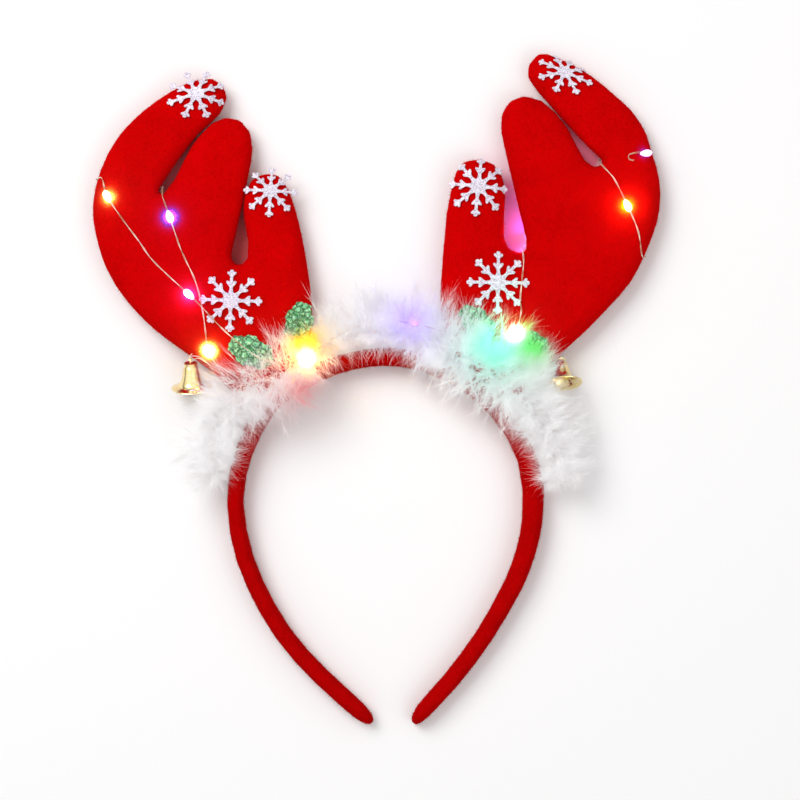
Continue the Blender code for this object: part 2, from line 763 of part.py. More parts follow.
# Bells
def turned(name, profile, sides, collection):
    """A closed solid turned round Z from a profile that runs down the outside and up the inside."""
    bm = bmesh.new()
    verts = [bm.verts.new((r * MM, 0.0, up * MM)) for r, up in profile]
    for a, b in zip(verts, verts[1:]):
        bm.edges.new((a, b))
    if profile[0][0] > 0:
        bm.edges.new((verts[-1], verts[0]))
    mesh = bpy.data.meshes.new(name)
    bm.to_mesh(mesh)
    bm.free()
    obj = bpy.data.objects.new(name, mesh)
    collection.objects.link(obj)
    screw = obj.modifiers.new("turn", "SCREW")
    screw.steps = sides
    screw.render_steps = sides
    screw.use_merge_vertices = True
    screw.merge_threshold = MERGE
    bpy.context.view_layer.update()
    made = bpy.data.meshes.new_from_object(obj.evaluated_get(bpy.context.evaluated_depsgraph_get()))
    bpy.data.objects.remove(obj)
    bm = bmesh.new()
    bm.from_mesh(made)
    bmesh.ops.remove_doubles(bm, verts=bm.verts, dist=MERGE)
    return finish_mesh(bm, name)


def make_bell(bell, material, collection, cutters):
    body = turned(bell.name, [tuple(p) for p in BELL_PROFILE], BELL_SIDES, cutters)
    obj = add_object(bell.name, body, material, collection)
    crown = BELL_PROFILE[0].up
    bpy.ops.mesh.primitive_torus_add(
        major_radius=EYELET_RING * MM,
        minor_radius=EYELET_WIRE * MM,
        major_segments=EYELET_SEGMENTS,
        minor_segments=EYELET_SIDES,
        location=(0, 0, (crown + EYELET_RISE - EYELET_WIRE) * MM),
        rotation=(0, math.pi / 2, 0),
    )
    eyelet = bpy.context.object
    eyelet.name = bell.name + "_eyelet"
    for owner in list(eyelet.users_collection):
        owner.objects.unlink(eyelet)
    cutters.objects.link(eyelet)
    eyelet.hide_render = True
    eyelet.display_type = "WIRE"
    join = obj.modifiers.new("eyelet", "BOOLEAN")
    join.operation = "UNION"
    join.object = eyelet
    crown_up = Matrix.Rotation(math.radians(bell.lean - 90.0), 4, "X")
    heading = Matrix.Rotation(math.radians(bell.turn - 90.0), 4, "Z")
    place = Matrix.Translation(Vector((bell.x, bell.y, bell.z)) * MM) @ heading @ crown_up
    bpy.context.view_layer.update()
    eyelet.matrix_world = place @ eyelet.matrix_world
    obj.matrix_world = place
    return obj


# Light string
def side_height(point, outline, side, up):
    inset = inset_of(point, outline)
    bulge = pad_bulge(inset, up)
    return pad_middle(point.y) + (bulge if side == "front" else -bulge)


def wrap_round_edge(outline, before, row, after, side_before, up):
    """Wire points round the antler's rounded edge, from one side to the other."""
    edge, _, _ = nearest_on_outline(Vector((row.x, row.y)), outline)
    nearest = min(range(len(outline)), key=lambda k: (outline[k] - edge).length)
    inward = inward_at(outline, nearest)
    outside = edge - inward * up
    points = []
    for degrees in WRAP_DEGREES:
        toward = (before if degrees > 0 else after) - edge
        toward.normalize()
        c, s = superellipse(math.radians(abs(degrees)), PAD_POWER)
        inset = (PAD_EDGE + up) * (1 - c)
        plan = outside + toward * inset / max(toward.dot(inward), WRAP_SLANT)
        sign = 1 if (degrees > 0) == (side_before == "front") else -1
        points.append((plan.x, plan.y, pad_middle(plan.y) + sign * (PAD_HALF + up) * s))
    return points


def wire_points(outlines):
    """The wire's points, the spans that stay straight inside a bead, and the beads."""
    points, straight, beads = [], [], []
    for i, row in enumerate(WIRE_ROUTE):
        here = Vector((row.x, row.y))
        before = WIRE_ROUTE[max(i - 1, 0)]
        after = WIRE_ROUTE[min(i + 1, len(WIRE_ROUTE) - 1)]
        before, after = Vector((before.x, before.y)), Vector((after.x, after.y))
        outline = outlines[0] if row.x < 0 else outlines[1]
        if row.place == "edge":
            side = WIRE_ROUTE[i - 1].place
            points += wrap_round_edge(outline, before, row, after, side, row.up)
            continue
        ends = [here]
        if row.bead:
            ahead = (after - before).normalized() * BEAD_STRAIGHT
            ends = [here - ahead, here + ahead]
            straight.append(len(points))
        for end in ends:
            z = row.up if row.place == "air" else side_height(end, outline, row.place, row.up)
            points.append((end.x, end.y, z))
        if row.bead:
            beads.append((row.bead, Vector(points[-2]), Vector(points[-1])))
    return points, straight, beads


def make_wire(points, straight, material, collection):
    path = smooth_path(points, WIRE_STEP, straight)
    data = bpy.data.curves.new("light_wire", "CURVE")
    data.dimensions = "3D"
    data.bevel_depth = WIRE_RADIUS * MM
    data.bevel_resolution = 1
    data.use_fill_caps = True
    spline = data.splines.new("POLY")
    spline.points.add(len(path) - 1)
    for point, place in zip(spline.points, path):
        point.co = (*(place * MM), 1.0)
    return add_object("light_wire", data, material, collection)


def make_bead(name, start, end, material, collection, cutters):
    inner = [(BEAD_BORE, BEAD_PROFILE[-1].along), (BEAD_BORE, BEAD_PROFILE[0].along)]
    mesh = turned(name, [tuple(p) for p in BEAD_PROFILE] + inner, BEAD_SIDES, cutters)
    obj = add_object(name, mesh, material, collection)
    turn = (end - start).to_track_quat("Z", "Y").to_matrix().to_4x4()
    obj.matrix_world = Matrix.Translation((start + end) / 2 * MM) @ turn
    return obj


# Feather trim
def obstacles(objects):
    """The other pieces as trees to measure distances to, each with its closed surface."""
    bpy.context.view_layer.update()
    graph = bpy.context.evaluated_depsgraph_get()
    trees = []
    for obj in objects:
        evaluated = obj.evaluated_get(graph)
        mesh = evaluated.to_mesh()
        verts = [evaluated.matrix_world @ v.co / MM for v in mesh.vertices]
        faces = [tuple(p.vertices) for p in mesh.polygons]
        evaluated.to_mesh_clear()
        trees.append(BVHTree.FromPolygons(verts, faces))
    return trees


def is_clear(path, trees):
    """Whether a lock keeps off the table and every other piece, measured at points over its width."""
    for i in range(len(path) - 1):
        side, _ = axes_at(path, i)
        for k in range(LOCK_TESTS + 1):
            share = k / LOCK_TESTS
            middle = path[i].lerp(path[i + 1], share)
            thick = LOCK_THICK[i] * (1 - share) + LOCK_THICK[i + 1] * share
            for across in LOCK_TESTS_ACROSS:
                point = middle + side * across * thick * LOCK_SPREAD
                room = thick * (1 - abs(across)) + LOCK_CLEARANCE
                if point.z < room or not is_outside(point, room, trees):
                    return False
    return True


def is_outside(point, room, trees):
    for tree in trees:
        nearest, normal, _, distance = tree.find_nearest(point)
        buried = distance < PAD_HALF and (point - nearest).dot(normal) < 0
        if buried or distance < room:
            return False
    return True


def axes_at(path, i):
    """The level direction across a path and the one over it."""
    ahead = direction_at(path, i)
    side = ahead.cross(Vector((0, 0, 1)))
    if side.length < STEEP:
        side = ahead.cross(Vector((0, 1, 0)))
    side.normalize()
    return side, side.cross(ahead)


def tube_rings(path, thick, spread, sides):
    """Rings round a path, whose half thickness is thick and whose half width is that times spread."""
    rings = []
    for i, (point, half) in enumerate(zip(path, thick)):
        side, over = axes_at(path, i)
        ring = []
        for k in range(sides):
            angle = 2 * math.pi * k / sides
            ring.append(point + side * math.cos(angle) * half * spread + over * math.sin(angle) * half)
        rings.append(ring)
    return rings


def lock_path(root, outward, turn, reach):
    angle = math.radians(turn)
    way = outward * math.cos(angle) + Vector((0, 0, math.sin(angle)))
    tip = root + way * reach
    belly = root + way * reach * LOCK_BELLY_AT
    tip.z = max(tip.z - LOCK_DROOP * reach, LOCK_THICK[2] + LOCK_CLEARANCE)
    belly.z = max(belly.z, LOCK_THICK[1] + LOCK_CLEARANCE)
    return [root, belly, tip]


def clear_lock(root, outward, turn, reach, trees):
    """A lock that keeps off the other pieces, turned or shortened as little as that takes."""
    for shorter in LOCK_SHORTENINGS:
        for extra in LOCK_TURNS:
            path = lock_path(root, outward, turn + extra, reach * shorter)
            if is_clear(path, trees):
                return path
    return None


def trim_locks(core, reaches, trees):
    locks = []
    for i, root in enumerate(core):
        ahead = direction_at(core, i).to_2d().normalized()
        outward = Vector((-ahead.y, ahead.x, 0))
        for k, turn in enumerate(EVEN_LOCKS if i % 2 == 0 else ODD_LOCKS):
            wave = LOCK_WAVE * i + LOCK_WAVE_ROUND * k
            reach = reaches[i] * (1 + LOCK_UNEVEN * math.sin(wave))
            lean = Matrix.Rotation(math.radians(LOCK_LEAN) * math.cos(wave), 3, "Z")
            path = clear_lock(root, lean @ outward, turn, reach, trees)
            if path:
                locks.append(path)
    return locks


def end_lock(root, way, reach):
    """A lock past an end of the cord."""
    return [root, root + way * reach * LOCK_BELLY_AT, root + way * reach]


def outer_shell(mesh, name):
    """The mesh without the small sealed hollows that its locks leave between them."""
    bm = bmesh.new()
    bm.from_mesh(mesh)
    unseen = set(bm.verts)
    shells = []
    while unseen:
        shell = [unseen.pop()]
        for vert in shell:
            for edge in vert.link_edges:
                other = edge.other_vert(vert)
                if other in unseen:
                    unseen.remove(other)
                    shell.append(other)
        shells.append(shell)
    shells.sort(key=len)
    hollows = [vert for shell in shells[:-1] for vert in shell]
    bmesh.ops.delete(bm, geom=hollows, context="VERTS")
    return finish_mesh(bm, name)


def make_trim(material, collection, others):
    smooth = smooth_path([tuple(p) for p in TRIM_CORE], CORE_STEP)
    core = [p.to_3d() for p in smooth]
    reaches = [p[3] for p in smooth]
    cord = lofted("feather_trim", tube_rings(core, [CORE_RADIUS] * len(core), 1.0, CORE_SIDES))
    trim = add_object("feather_trim", cord, material, collection)
    paths = trim_locks(core, reaches, obstacles(others))
    paths.append(end_lock(core[0], -direction_at(core, 0), reaches[0]))
    paths.append(end_lock(core[-1], direction_at(core, len(core) - 1), reaches[-1]))
    locks = new_collection("trim locks")
    for i, path in enumerate(paths):
        mesh = lofted(f"lock_{i}", tube_rings(path, LOCK_THICK, LOCK_SPREAD, LOCK_SIDES))
        add_object(f"lock_{i}", mesh, material, locks)
    join = trim.modifiers.new("locks", "BOOLEAN")
    join.operation = "UNION"
    join.operand_type = "COLLECTION"
    join.collection = locks
    bpy.context.view_layer.update()
    graph = bpy.context.evaluated_depsgraph_get()
    joined = bpy.data.meshes.new_from_object(trim.evaluated_get(graph))
    trim.modifiers.clear()
    trim.data = outer_shell(joined, "feather_trim")
    for lock in list(locks.objects):
        bpy.data.objects.remove(lock)
    bpy.data.collections.remove(locks)


def main():
    clear_scene()
    parts = new_collection("antler headband")
    cutters = new_collection("helpers")
    materials = {name: new_material(name) for name in COLOURS}
    add_object("velvet_band", make_band(), materials["velvet"], parts)
    outlines = [
        antler_outline(LEFT_OUTLINE, LEFT_SEAT_X),
        antler_outline(RIGHT_OUTLINE, RIGHT_SEAT_X),
    ]
    for name, outline in zip(("antler_left", "antler_right"), outlines):
        add_object(name, make_antler(name, outline), materials["velvet"], parts)
    for row in SNOWFLAKES:
        shape = placed(snowflake_outline(), row.x, row.y, row.turn, row.height_seen)
        hub = [Vector((row.x, row.y))]
        antler = outlines[0] if row.x < 0 else outlines[1]
        flake = make_plate(row.name, shape, hub, FLAKE_THICK, bent_on_front, antler)
        add_object(row.name, flake, materials["glitter_white"], parts)
    for row in LEAVES:
        shape = placed(leaf_outline(row.long, row.wide), row.x, row.y, row.turn)
        leaf = make_plate(row.name, shape, [], LEAF_THICK, flat_on_front, None)
        add_object(row.name, leaf, materials["glitter_green"], parts)
    for row in BELLS:
        make_bell(row, materials["gold"], parts, cutters)
    points, straight, beads = wire_points(outlines)
    make_wire(points, straight, materials["wire"], parts)
    for i, (colour, start, end) in enumerate(beads, 1):
        make_bead(f"light_{i:02d}_{colour}", start, end, materials["bead_" + colour], parts, cutters)
    make_trim(materials["feather"], parts, list(parts.objects))


main()
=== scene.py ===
import math

import bpy
import numpy as np
from mathutils import Matrix, Vector, noise
from mathutils.bvhtree import BVHTree
from mathutils.kdtree import KDTree


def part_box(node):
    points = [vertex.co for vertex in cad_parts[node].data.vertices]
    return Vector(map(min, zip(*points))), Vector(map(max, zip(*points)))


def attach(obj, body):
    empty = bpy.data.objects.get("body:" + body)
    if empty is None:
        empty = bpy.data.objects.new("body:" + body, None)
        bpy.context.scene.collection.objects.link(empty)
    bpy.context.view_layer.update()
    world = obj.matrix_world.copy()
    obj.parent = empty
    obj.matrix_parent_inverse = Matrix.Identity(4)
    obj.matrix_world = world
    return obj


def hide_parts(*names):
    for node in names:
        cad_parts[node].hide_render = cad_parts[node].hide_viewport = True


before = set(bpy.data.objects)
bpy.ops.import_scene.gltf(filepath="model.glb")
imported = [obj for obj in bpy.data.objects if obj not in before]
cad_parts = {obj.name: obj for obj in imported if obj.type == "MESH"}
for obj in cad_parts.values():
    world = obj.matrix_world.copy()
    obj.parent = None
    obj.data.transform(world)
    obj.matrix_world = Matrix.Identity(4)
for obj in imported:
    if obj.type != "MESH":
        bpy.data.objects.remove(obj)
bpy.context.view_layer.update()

mm = 0.001
up = Vector((0, 0, 1))


# Small tools for objects
def deselectAll():
    if bpy.context.object and bpy.context.object.mode != "OBJECT":
        bpy.ops.object.mode_set(mode="OBJECT")
    bpy.ops.object.select_all(action="DESELECT")


def makeActive(obj):
    deselectAll()
    obj.select_set(True)
    bpy.context.view_layer.objects.active = obj


def newObject(name, data):
    obj = bpy.data.objects.new(name, data)
    bpy.context.scene.collection.objects.link(obj)
    return obj


def applyPlace(obj):
    # the place goes into the mesh, so the object sits at the origin
    makeActive(obj)
    bpy.ops.object.transform_apply(location=True, rotation=True, scale=True)


def applyModifier(obj, kind, **settings):
    makeActive(obj)
    modifier = obj.modifiers.new(kind, kind)
    for key, value in settings.items():
        setattr(modifier, key, value)
    bpy.ops.object.modifier_apply(modifier=modifier.name)


def mergeDoubles(obj, distance):
    makeActive(obj)
    bpy.ops.object.mode_set(mode="EDIT")
    bpy.ops.mesh.select_all(action="SELECT")
    bpy.ops.mesh.remove_doubles(threshold=distance)
    bpy.ops.mesh.normals_make_consistent(inside=False)
    bpy.ops.object.mode_set(mode="OBJECT")


def addSpline(curve, places, closed=False):
    # a line through places in mm
    spline = curve.splines.new("POLY")
    spline.points.add(len(places) - 1)
    spline.use_cyclic_u = closed
    for point, place in zip(spline.points, places):
        point.co = (*(place * mm), 1)


def meshOfCurve(name, curve):
    tube = newObject(name, curve)
    makeActive(tube)
    bpy.ops.object.convert(target="MESH")
    mergeDoubles(bpy.context.object, 0.005 * mm)
    return bpy.context.object


def smoothByAngle(obj, degrees):
    makeActive(obj)
    bpy.ops.object.shade_smooth_by_angle(angle=math.radians(degrees))


def settle(obj, name, material, slot, *nodes):
    # names a finished piece, gives it its material and puts it on the body
    obj.name = name
    obj.data.name = name
    obj.data.materials.clear()
    obj.data.materials.append(material)
    if nodes:
        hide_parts(*nodes)
    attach(obj, "root")
    return obj


def coordsOf(obj):
    coords = np.empty(len(obj.data.vertices) * 3)
    obj.data.vertices.foreach_get("co", coords)
    return coords.reshape(-1, 3)


def normalsOf(obj):
    normals = np.empty(len(obj.data.vertices) * 3)
    obj.data.vertices.foreach_get("normal", normals)
    return normals.reshape(-1, 3)


def setCoords(obj, coords):
    obj.data.vertices.foreach_set("co", np.ascontiguousarray(coords, dtype=float).ravel())
    obj.data.update()


def treeOf(objects):
    verts, faces = [], []
    for obj in objects:
        start = len(verts)
        verts += [v.co.copy() for v in obj.data.vertices]
        faces += [[start + k for k in p.vertices] for p in obj.data.polygons]
    return BVHTree.FromPolygons(verts, faces)


def smoothLine(points, perSpan):
    # a curve through the given points
    points = [Vector(p) for p in points]
    line = []
    for i in range(len(points) - 1):
        before, after = points[max(i - 1, 0)], points[min(i + 2, len(points) - 1)]
        a, b = points[i], points[i + 1]
        leave, arrive = (b - before) / 2, (after - a) / 2
        for k in range(perSpan):
            t = k / perSpan
            line.append(
                a * (2 * t**3 - 3 * t**2 + 1) + leave * (t**3 - 2 * t**2 + t) + b * (3 * t**2 - 2 * t**3)
                + arrive * (t**3 - t**2)
            )
    line.append(points[-1])
    return line


# Small tools for materials
def fromHex(text):
    # sRGB hex to linear colour
    channels = [int(text[k : k + 2], 16) / 255 for k in (1, 3, 5)]
    linear = [c / 12.92 if c <= 0.04045 else ((c + 0.055) / 1.055) ** 2.4 for c in channels]
    return (*linear, 1.0)


def addNode(tree, kind, values=None, links=None, **settings):
    # one node with its settings, its socket values and what is linked into it
    node = tree.nodes.new(kind)
    for key, value in settings.items():
        setattr(node, key, value)
    for key, value in (values or {}).items():
        node.inputs[key].default_value = value
    for key, source in (links or {}).items():
        tree.links.new(source, node.inputs[key])
    return node


def newMaterial(name, values):
    material = bpy.data.materials.new(name)
    material.use_nodes = True
    shader = material.node_tree.nodes["Principled BSDF"]
    for key, value in values.items():
        shader.inputs[key].default_value = value
    return material, material.node_tree, shader


def setRamp(ramp, stops):
    # a colour ramp from pairs of place and hex colour
    elements = ramp.color_ramp.elements
    while len(elements) < len(stops):
        elements.new(0.5)
    for element, (place, colour) in zip(elements, stops):
        element.position = place
        element.color = fromHex(colour)


def perSize(size):
    # a pattern's scale on Object coordinates, from the size in mm of one feature
    return 1 / (size * mm)


# Diodes: what each colour's drop, light and painted glow on the velvet look like
lit = {
    "yellow": {"body": "#FFD060", "core": "#FFF0B8", "light": "#FFA600", "glow": "#FFEE60"},
    "orange": {"body": "#FFB060", "core": "#FFE9A0", "light": "#FF3000", "glow": "#FFD008"},
    "violet": {"body": "#C9A0FF", "core": "#BCA8FF", "light": "#7A1EFF", "glow": "#9A34C0"},
    "magenta": {"body": "#FFB0F0", "core": "#FFB8F8", "light": "#E01EFF", "glow": "#C850FF"},
    "green": {"body": "#D0FFE0", "core": "#D0FFE8", "light": "#20FFA0", "glow": "#FFF080"},
}
# strength is the drop's, watts the light's. The velvet round a diode has a painted glow, full as far as
# reach, and past it less by a factor e for each fade
diodes = [
    {"node": "light_01_yellow", "strength": 10.0, "watts": 0.002, "reach": 4.7, "fade": 0.55},
    {"node": "light_02_violet", "strength": 8.0, "watts": 0.001, "reach": 4.4, "fade": 0.85},
    {"node": "light_03_yellow", "strength": 10.0, "watts": 0.0007, "reach": 3.5, "fade": 0.6},
    {"node": "light_04_magenta", "strength": 10.0, "watts": 0.003, "reach": 1.9, "fade": 1.1},
    {"node": "light_05_yellow", "strength": 12.0, "watts": 0.020, "reach": 3.0, "fade": 1.2},
    {"node": "light_06_violet", "strength": 0.4, "watts": 0.003, "reach": 1.0, "fade": 1.5},
    {"node": "light_07_green", "strength": 12.0, "watts": 0.010, "reach": 1.2, "fade": 0.8},
    {"node": "light_08_violet", "strength": 1.0, "watts": 0.027, "reach": 1.0, "fade": 1.0,
     "aside": (1.4, 0, 0), "light": "#E85CFF"},
    {"node": "light_09_orange", "strength": 10.0, "watts": 0.006, "reach": 3.2, "fade": 0.7},
    {"node": "light_10_violet", "strength": 2.2, "watts": 0.0003, "reach": 2.8, "fade": 0.5,
     "aside": (0, -0.8, 0)},
]
# painted light on the down round a place, from the diodes and pink from the red velvet, with reach and fade
# in the same way. Tint is the painted colour that its white turns to, glow is the painted glow that it
# passes on
paintedDownLight = [
    {"x": -30.8, "y": 14.4, "z": 22.0, "reach": 4.9, "fade": 0.9, "paintedTint": "#FFF8D0", "glow": "#FFE890"},
    {"x": -31.3, "y": 22.0, "z": 22.0, "reach": 4.5, "fade": 3.4, "paintedTint": "#FFE060", "glow": "#806000"},
    {"x": -31.0, "y": -2.0, "z": 18.0, "reach": 4.0, "fade": 7.0, "paintedTint": "#FFC6C8", "glow": "#000000"},
    {"x": 15.0, "y": 33.0, "z": 14.0, "reach": 2.0, "fade": 7.0, "paintedTint": "#DED2FF", "glow": "#3C2478"},
    {"x": 61.4, "y": 25.6, "z": 22.0, "reach": 4.5, "fade": 0.8, "paintedTint": "#F0FFF8", "glow": "#E8FFF0"},
    {"x": 53.3, "y": 20.0, "z": 22.0, "reach": 7.0, "fade": 6.5, "paintedTint": "#CEFFF4", "glow": "#0C6454"},
    {"x": 70.0, "y": 20.0, "z": 22.0, "reach": 3.5, "fade": 3.6, "paintedTint": "#A0F898", "glow": "#004010"},
    {"x": 64.5, "y": 31.0, "z": 22.0, "reach": 4.0, "fade": 3.5, "paintedTint": "#F0FF98", "glow": "#303800"},
]


# Materials
def addFall(tree, moved, middle, row, most=1.0):
    # how much of a light a place takes up: 1 at reach, less past it and up to most before it
    away = addNode(
        tree, "ShaderNodeVectorMath", {1: middle}, {0: moved.outputs["Vector"]}, operation="DISTANCE",
    )
    fall = addNode(
        tree, "ShaderNodeMath", {1: -1 / (row["fade"] * mm), 2: row["reach"] / row["fade"]},
        {0: away.outputs["Value"]}, operation="MULTIPLY_ADD",
    )
    grown = addNode(tree, "ShaderNodeMath", links={0: fall.outputs[0]}, operation="EXPONENT")
    share = addNode(tree, "ShaderNodeMath", {1: most}, {0: grown.outputs[0]}, operation="MINIMUM")
    full = addNode(tree, "ShaderNodeMath", {1: 1.0}, {0: share.outputs[0]}, operation="MINIMUM")
    return share, full


def addTint(tree, colour, full, total):
    # total, turned to colour as far as full says
    lost = Vector(colour) - Vector((1, 1, 1))
    left = addNode(
        tree, "ShaderNodeVectorMath", {0: lost, 2: (1, 1, 1)}, {1: full.outputs[0]},
        operation="MULTIPLY_ADD",
    )
    if not total:
        return left
    return addNode(
        tree, "ShaderNodeVectorMath", links={0: left.outputs["Vector"], 1: total.outputs["Vector"]},
        operation="MULTIPLY",
    )


def addRagged(tree, place, pattern, far, flat):
    # the places moved to and fro, so that what is measured from them has a ragged edge
    noisy = addNode(
        tree, "ShaderNodeTexNoise", {"Scale": perSize(pattern), "Detail": 3.0, "Roughness": 0.7},
        {"Vector": place.outputs["Object"]},
    )
    level = addNode(
        tree, "ShaderNodeVectorMath", {1: (1, 1, flat)}, {0: place.outputs["Object"]}, operation="MULTIPLY",
    )
    far = far * mm
    return addNode(
        tree, "ShaderNodeVectorMath", {1: (far, far, far)},
        {0: noisy.outputs["Color"], 2: level.outputs["Vector"]}, operation="MULTIPLY_ADD",
    )


def addPaintedGlows(tree, moved, rows, most):
    # the painted glow of all rows' lights, and the painted tint they turn a colour to
    glow = paintedTint = None
    for row in rows:
        share, full = addFall(tree, moved, row["middle"], row, most)
        links = {1: share.outputs[0]}
        if glow:
            links[2] = glow.outputs["Vector"]
        paintedGlow = fromHex(row["glow"])[:3]
        glow = addNode(tree, "ShaderNodeVectorMath", {0: paintedGlow}, links, operation="MULTIPLY_ADD")
        paintedTint = addTint(tree, fromHex(row["paintedTint"])[:3], full, paintedTint)
    return glow, paintedTint


def addPaintedVelvetGlow(tree, place):
    # the painted glow of the diodes' light on the pile round them, and what it leaves of the pile's own
    # colour
    far, rows = 2.6, []
    for row in diodes:
        low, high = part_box(row["node"])
        middle = (low + high) / 2 + Vector((far, far, far)) * mm / 2
        glow = lit[row["node"].split("_")[-1]]["glow"]
        rows.append({**row, "middle": middle, "glow": glow, "paintedTint": "#000000"})
    return addPaintedGlows(tree, addRagged(tree, place, 0.8, far, 1.0), rows, 12.0)


def addPaintedDownGlow(tree, place):
    # the painted glow of the down round the diodes, and the painted tint that its white turns to. Height
    # counts less, as the light spreads through the whole down
    far, flat, rows = 4.0, 0.3, []
    for row in paintedDownLight:
        middle = Vector((row["x"] + far / 2, row["y"] + far / 2, row["z"] * flat + far / 2)) * mm
        rows.append({**row, "middle": middle})
    return addPaintedGlows(tree, addRagged(tree, place, 2.5, far, flat), rows, 3.0)


def addMottle(tree, size, detail, stops):
    # a colour that wanders between the stops over a pattern of this size
    place = addNode(tree, "ShaderNodeTexCoord")
    values = {"Scale": perSize(size), "Detail": detail}
    pattern = addNode(tree, "ShaderNodeTexNoise", values, {"Vector": place.outputs["Object"]})
    colour = addNode(tree, "ShaderNodeValToRGB", links={"Fac": pattern.outputs["Fac"]})
    setRamp(colour, stops)
    return place, pattern, colour


def makeMottled(name, values, size, detail, stops):
    material, tree, shader = newMaterial(name, values)
    _, _, colour = addMottle(tree, size, detail, stops)
    tree.links.new(colour.outputs["Color"], shader.inputs["Base Color"])
    return material


def makeVelvet(name, nap, dark, light):
    # polyester velvet: a short brushed pile, which gives a soft matt red with faint clouds where
    # the nap lies one way or the other
    material, tree, shader = newMaterial(
        name,
        {
            "Roughness": 0.95,
            "Specular IOR Level": 0.02,
            "Sheen Weight": 0.1,
            "Sheen Roughness": 0.4,
            "Sheen Tint": fromHex("#FF0800"),
            "Emission Strength": 1.0,
        },
    )
    place = addNode(tree, "ShaderNodeTexCoord")
    clouds = addNode(
        tree, "ShaderNodeTexNoise", {"Scale": perSize(nap["cloud"]), "Detail": 3.0, "Roughness": 0.55},
        {"Vector": place.outputs["Object"]},
    )
    tufts = addNode(
        tree, "ShaderNodeTexNoise", {"Scale": perSize(nap["tuft"]), "Detail": 2.0, "Roughness": 0.6},
        {"Vector": place.outputs["Object"]},
    )
    both = addNode(
        tree, "ShaderNodeMath", links={0: clouds.outputs["Fac"], 1: tufts.outputs["Fac"]}, operation="ADD",
    )
    half = addNode(tree, "ShaderNodeMath", {1: 0.5}, {0: both.outputs[0]}, operation="MULTIPLY")
    colour = addNode(tree, "ShaderNodeValToRGB", links={"Fac": half.outputs[0]})
    setRamp(colour, [(0.36, dark), (0.62, light)])
    # the diodes' light painted on the pile: its glow as emission, and the pile's own red taken away under
    # it
    glow, left = addPaintedVelvetGlow(tree, place)
    own = addNode(
        tree, "ShaderNodeVectorMath", links={0: colour.outputs["Color"], 1: left.outputs["Vector"]},
        operation="MULTIPLY",
    )
    tree.links.new(own.outputs["Vector"], shader.inputs["Base Color"])
    tree.links.new(glow.outputs["Vector"], shader.inputs["Emission Color"])
    pile = addNode(
        tree, "ShaderNodeBump", {"Strength": 0.35, "Distance": 0.25 * mm}, {"Height": tufts.outputs["Fac"]},
    )
    tree.links.new(pile.outputs["Normal"], shader.inputs["Normal"])
    return material


def makeMarabou():
    # marabou: downy turkey plumes on a cord, matt white; the light that passes through the barbs is a
    # painted glow
    material, tree, shader = newMaterial(
        "marabou down", {"Roughness": 0.8, "Specular IOR Level": 0.1, "Emission Strength": 1.0},
    )
    place, _, colour = addMottle(tree, 7.0, 1.0, [(0.3, "#F3F1F2"), (0.7, "#FFFFFF")])
    # painted light of the diodes on the down: a tint in its white and a glow
    glow, paintedTint = addPaintedDownGlow(tree, place)
    whiteWithPaintedTint = addNode(
        tree, "ShaderNodeVectorMath", links={0: colour.outputs["Color"], 1: paintedTint.outputs["Vector"]},
        operation="MULTIPLY",
    )
    tree.links.new(whiteWithPaintedTint.outputs["Vector"], shader.inputs["Base Color"])
    # painted glow: a fifth of the down's colour for the light that barbs pass on to each other, and the
    # diodes' painted glow
    paintedGlow = addNode(
        tree, "ShaderNodeVectorMath", {1: (0.2, 0.2, 0.2)},
        {0: whiteWithPaintedTint.outputs["Vector"], 2: glow.outputs["Vector"]}, operation="MULTIPLY_ADD",
    )
    tree.links.new(paintedGlow.outputs["Vector"], shader.inputs["Emission Color"])
    return material


def makeGlitter(name, grain, dark, middle, light, gloss, crease=None):
    # glitter foil on card: flakes of film that each face their own way, so some flash and some stay dull;
    # each flake's flash or dullness is a painted glint in its colour, and its tilt is a bump. The flakes
    # are drawn coarser than real, as fine as the render can show. The creases of crumpled film get a
    # painted shade
    material, tree, shader = newMaterial(
        name, {"Roughness": gloss, "Specular IOR Level": 0.6, "Coat Weight": 0.2}
    )
    place = addNode(tree, "ShaderNodeTexCoord")
    flakes = addNode(
        tree, "ShaderNodeTexVoronoi", {"Scale": perSize(grain)}, {"Vector": place.outputs["Object"]},
    )
    split = addNode(tree, "ShaderNodeSeparateColor", links={"Color": flakes.outputs["Color"]})
    # painted glint: each flake's brightness, from dull to flashing
    colour = addNode(tree, "ShaderNodeValToRGB", links={"Fac": split.outputs["Red"]})
    setRamp(colour, [(0.05, dark), (0.45, middle), (0.95, light)])
    if crease:
        # painted shade along the creases
        folds = addNode(
            tree, "ShaderNodeTexVoronoi", {"Scale": perSize(crease["size"])},
            {"Vector": place.outputs["Object"]}, feature="DISTANCE_TO_EDGE",
        )
        paintedShade = addNode(tree, "ShaderNodeValToRGB", links={"Fac": folds.outputs["Distance"]})
        setRamp(paintedShade, [(0.0, crease["colour"]), (crease["wide"], "#FFFFFF")])
        colour = addNode(
            tree, "ShaderNodeMix", {0: 1.0}, {6: colour.outputs["Color"], 7: paintedShade.outputs["Color"]},
            data_type="RGBA", blend_type="MULTIPLY",
        )
        tree.links.new(colour.outputs[2], shader.inputs["Base Color"])
    else:
        tree.links.new(colour.outputs["Color"], shader.inputs["Base Color"])
    tilt = addNode(
        tree, "ShaderNodeBump", {"Strength": 0.5, "Distance": 0.12 * mm},
        {"Height": split.outputs["Green"]},
    )
    tree.links.new(tilt.outputs["Normal"], shader.inputs["Normal"])
    return material


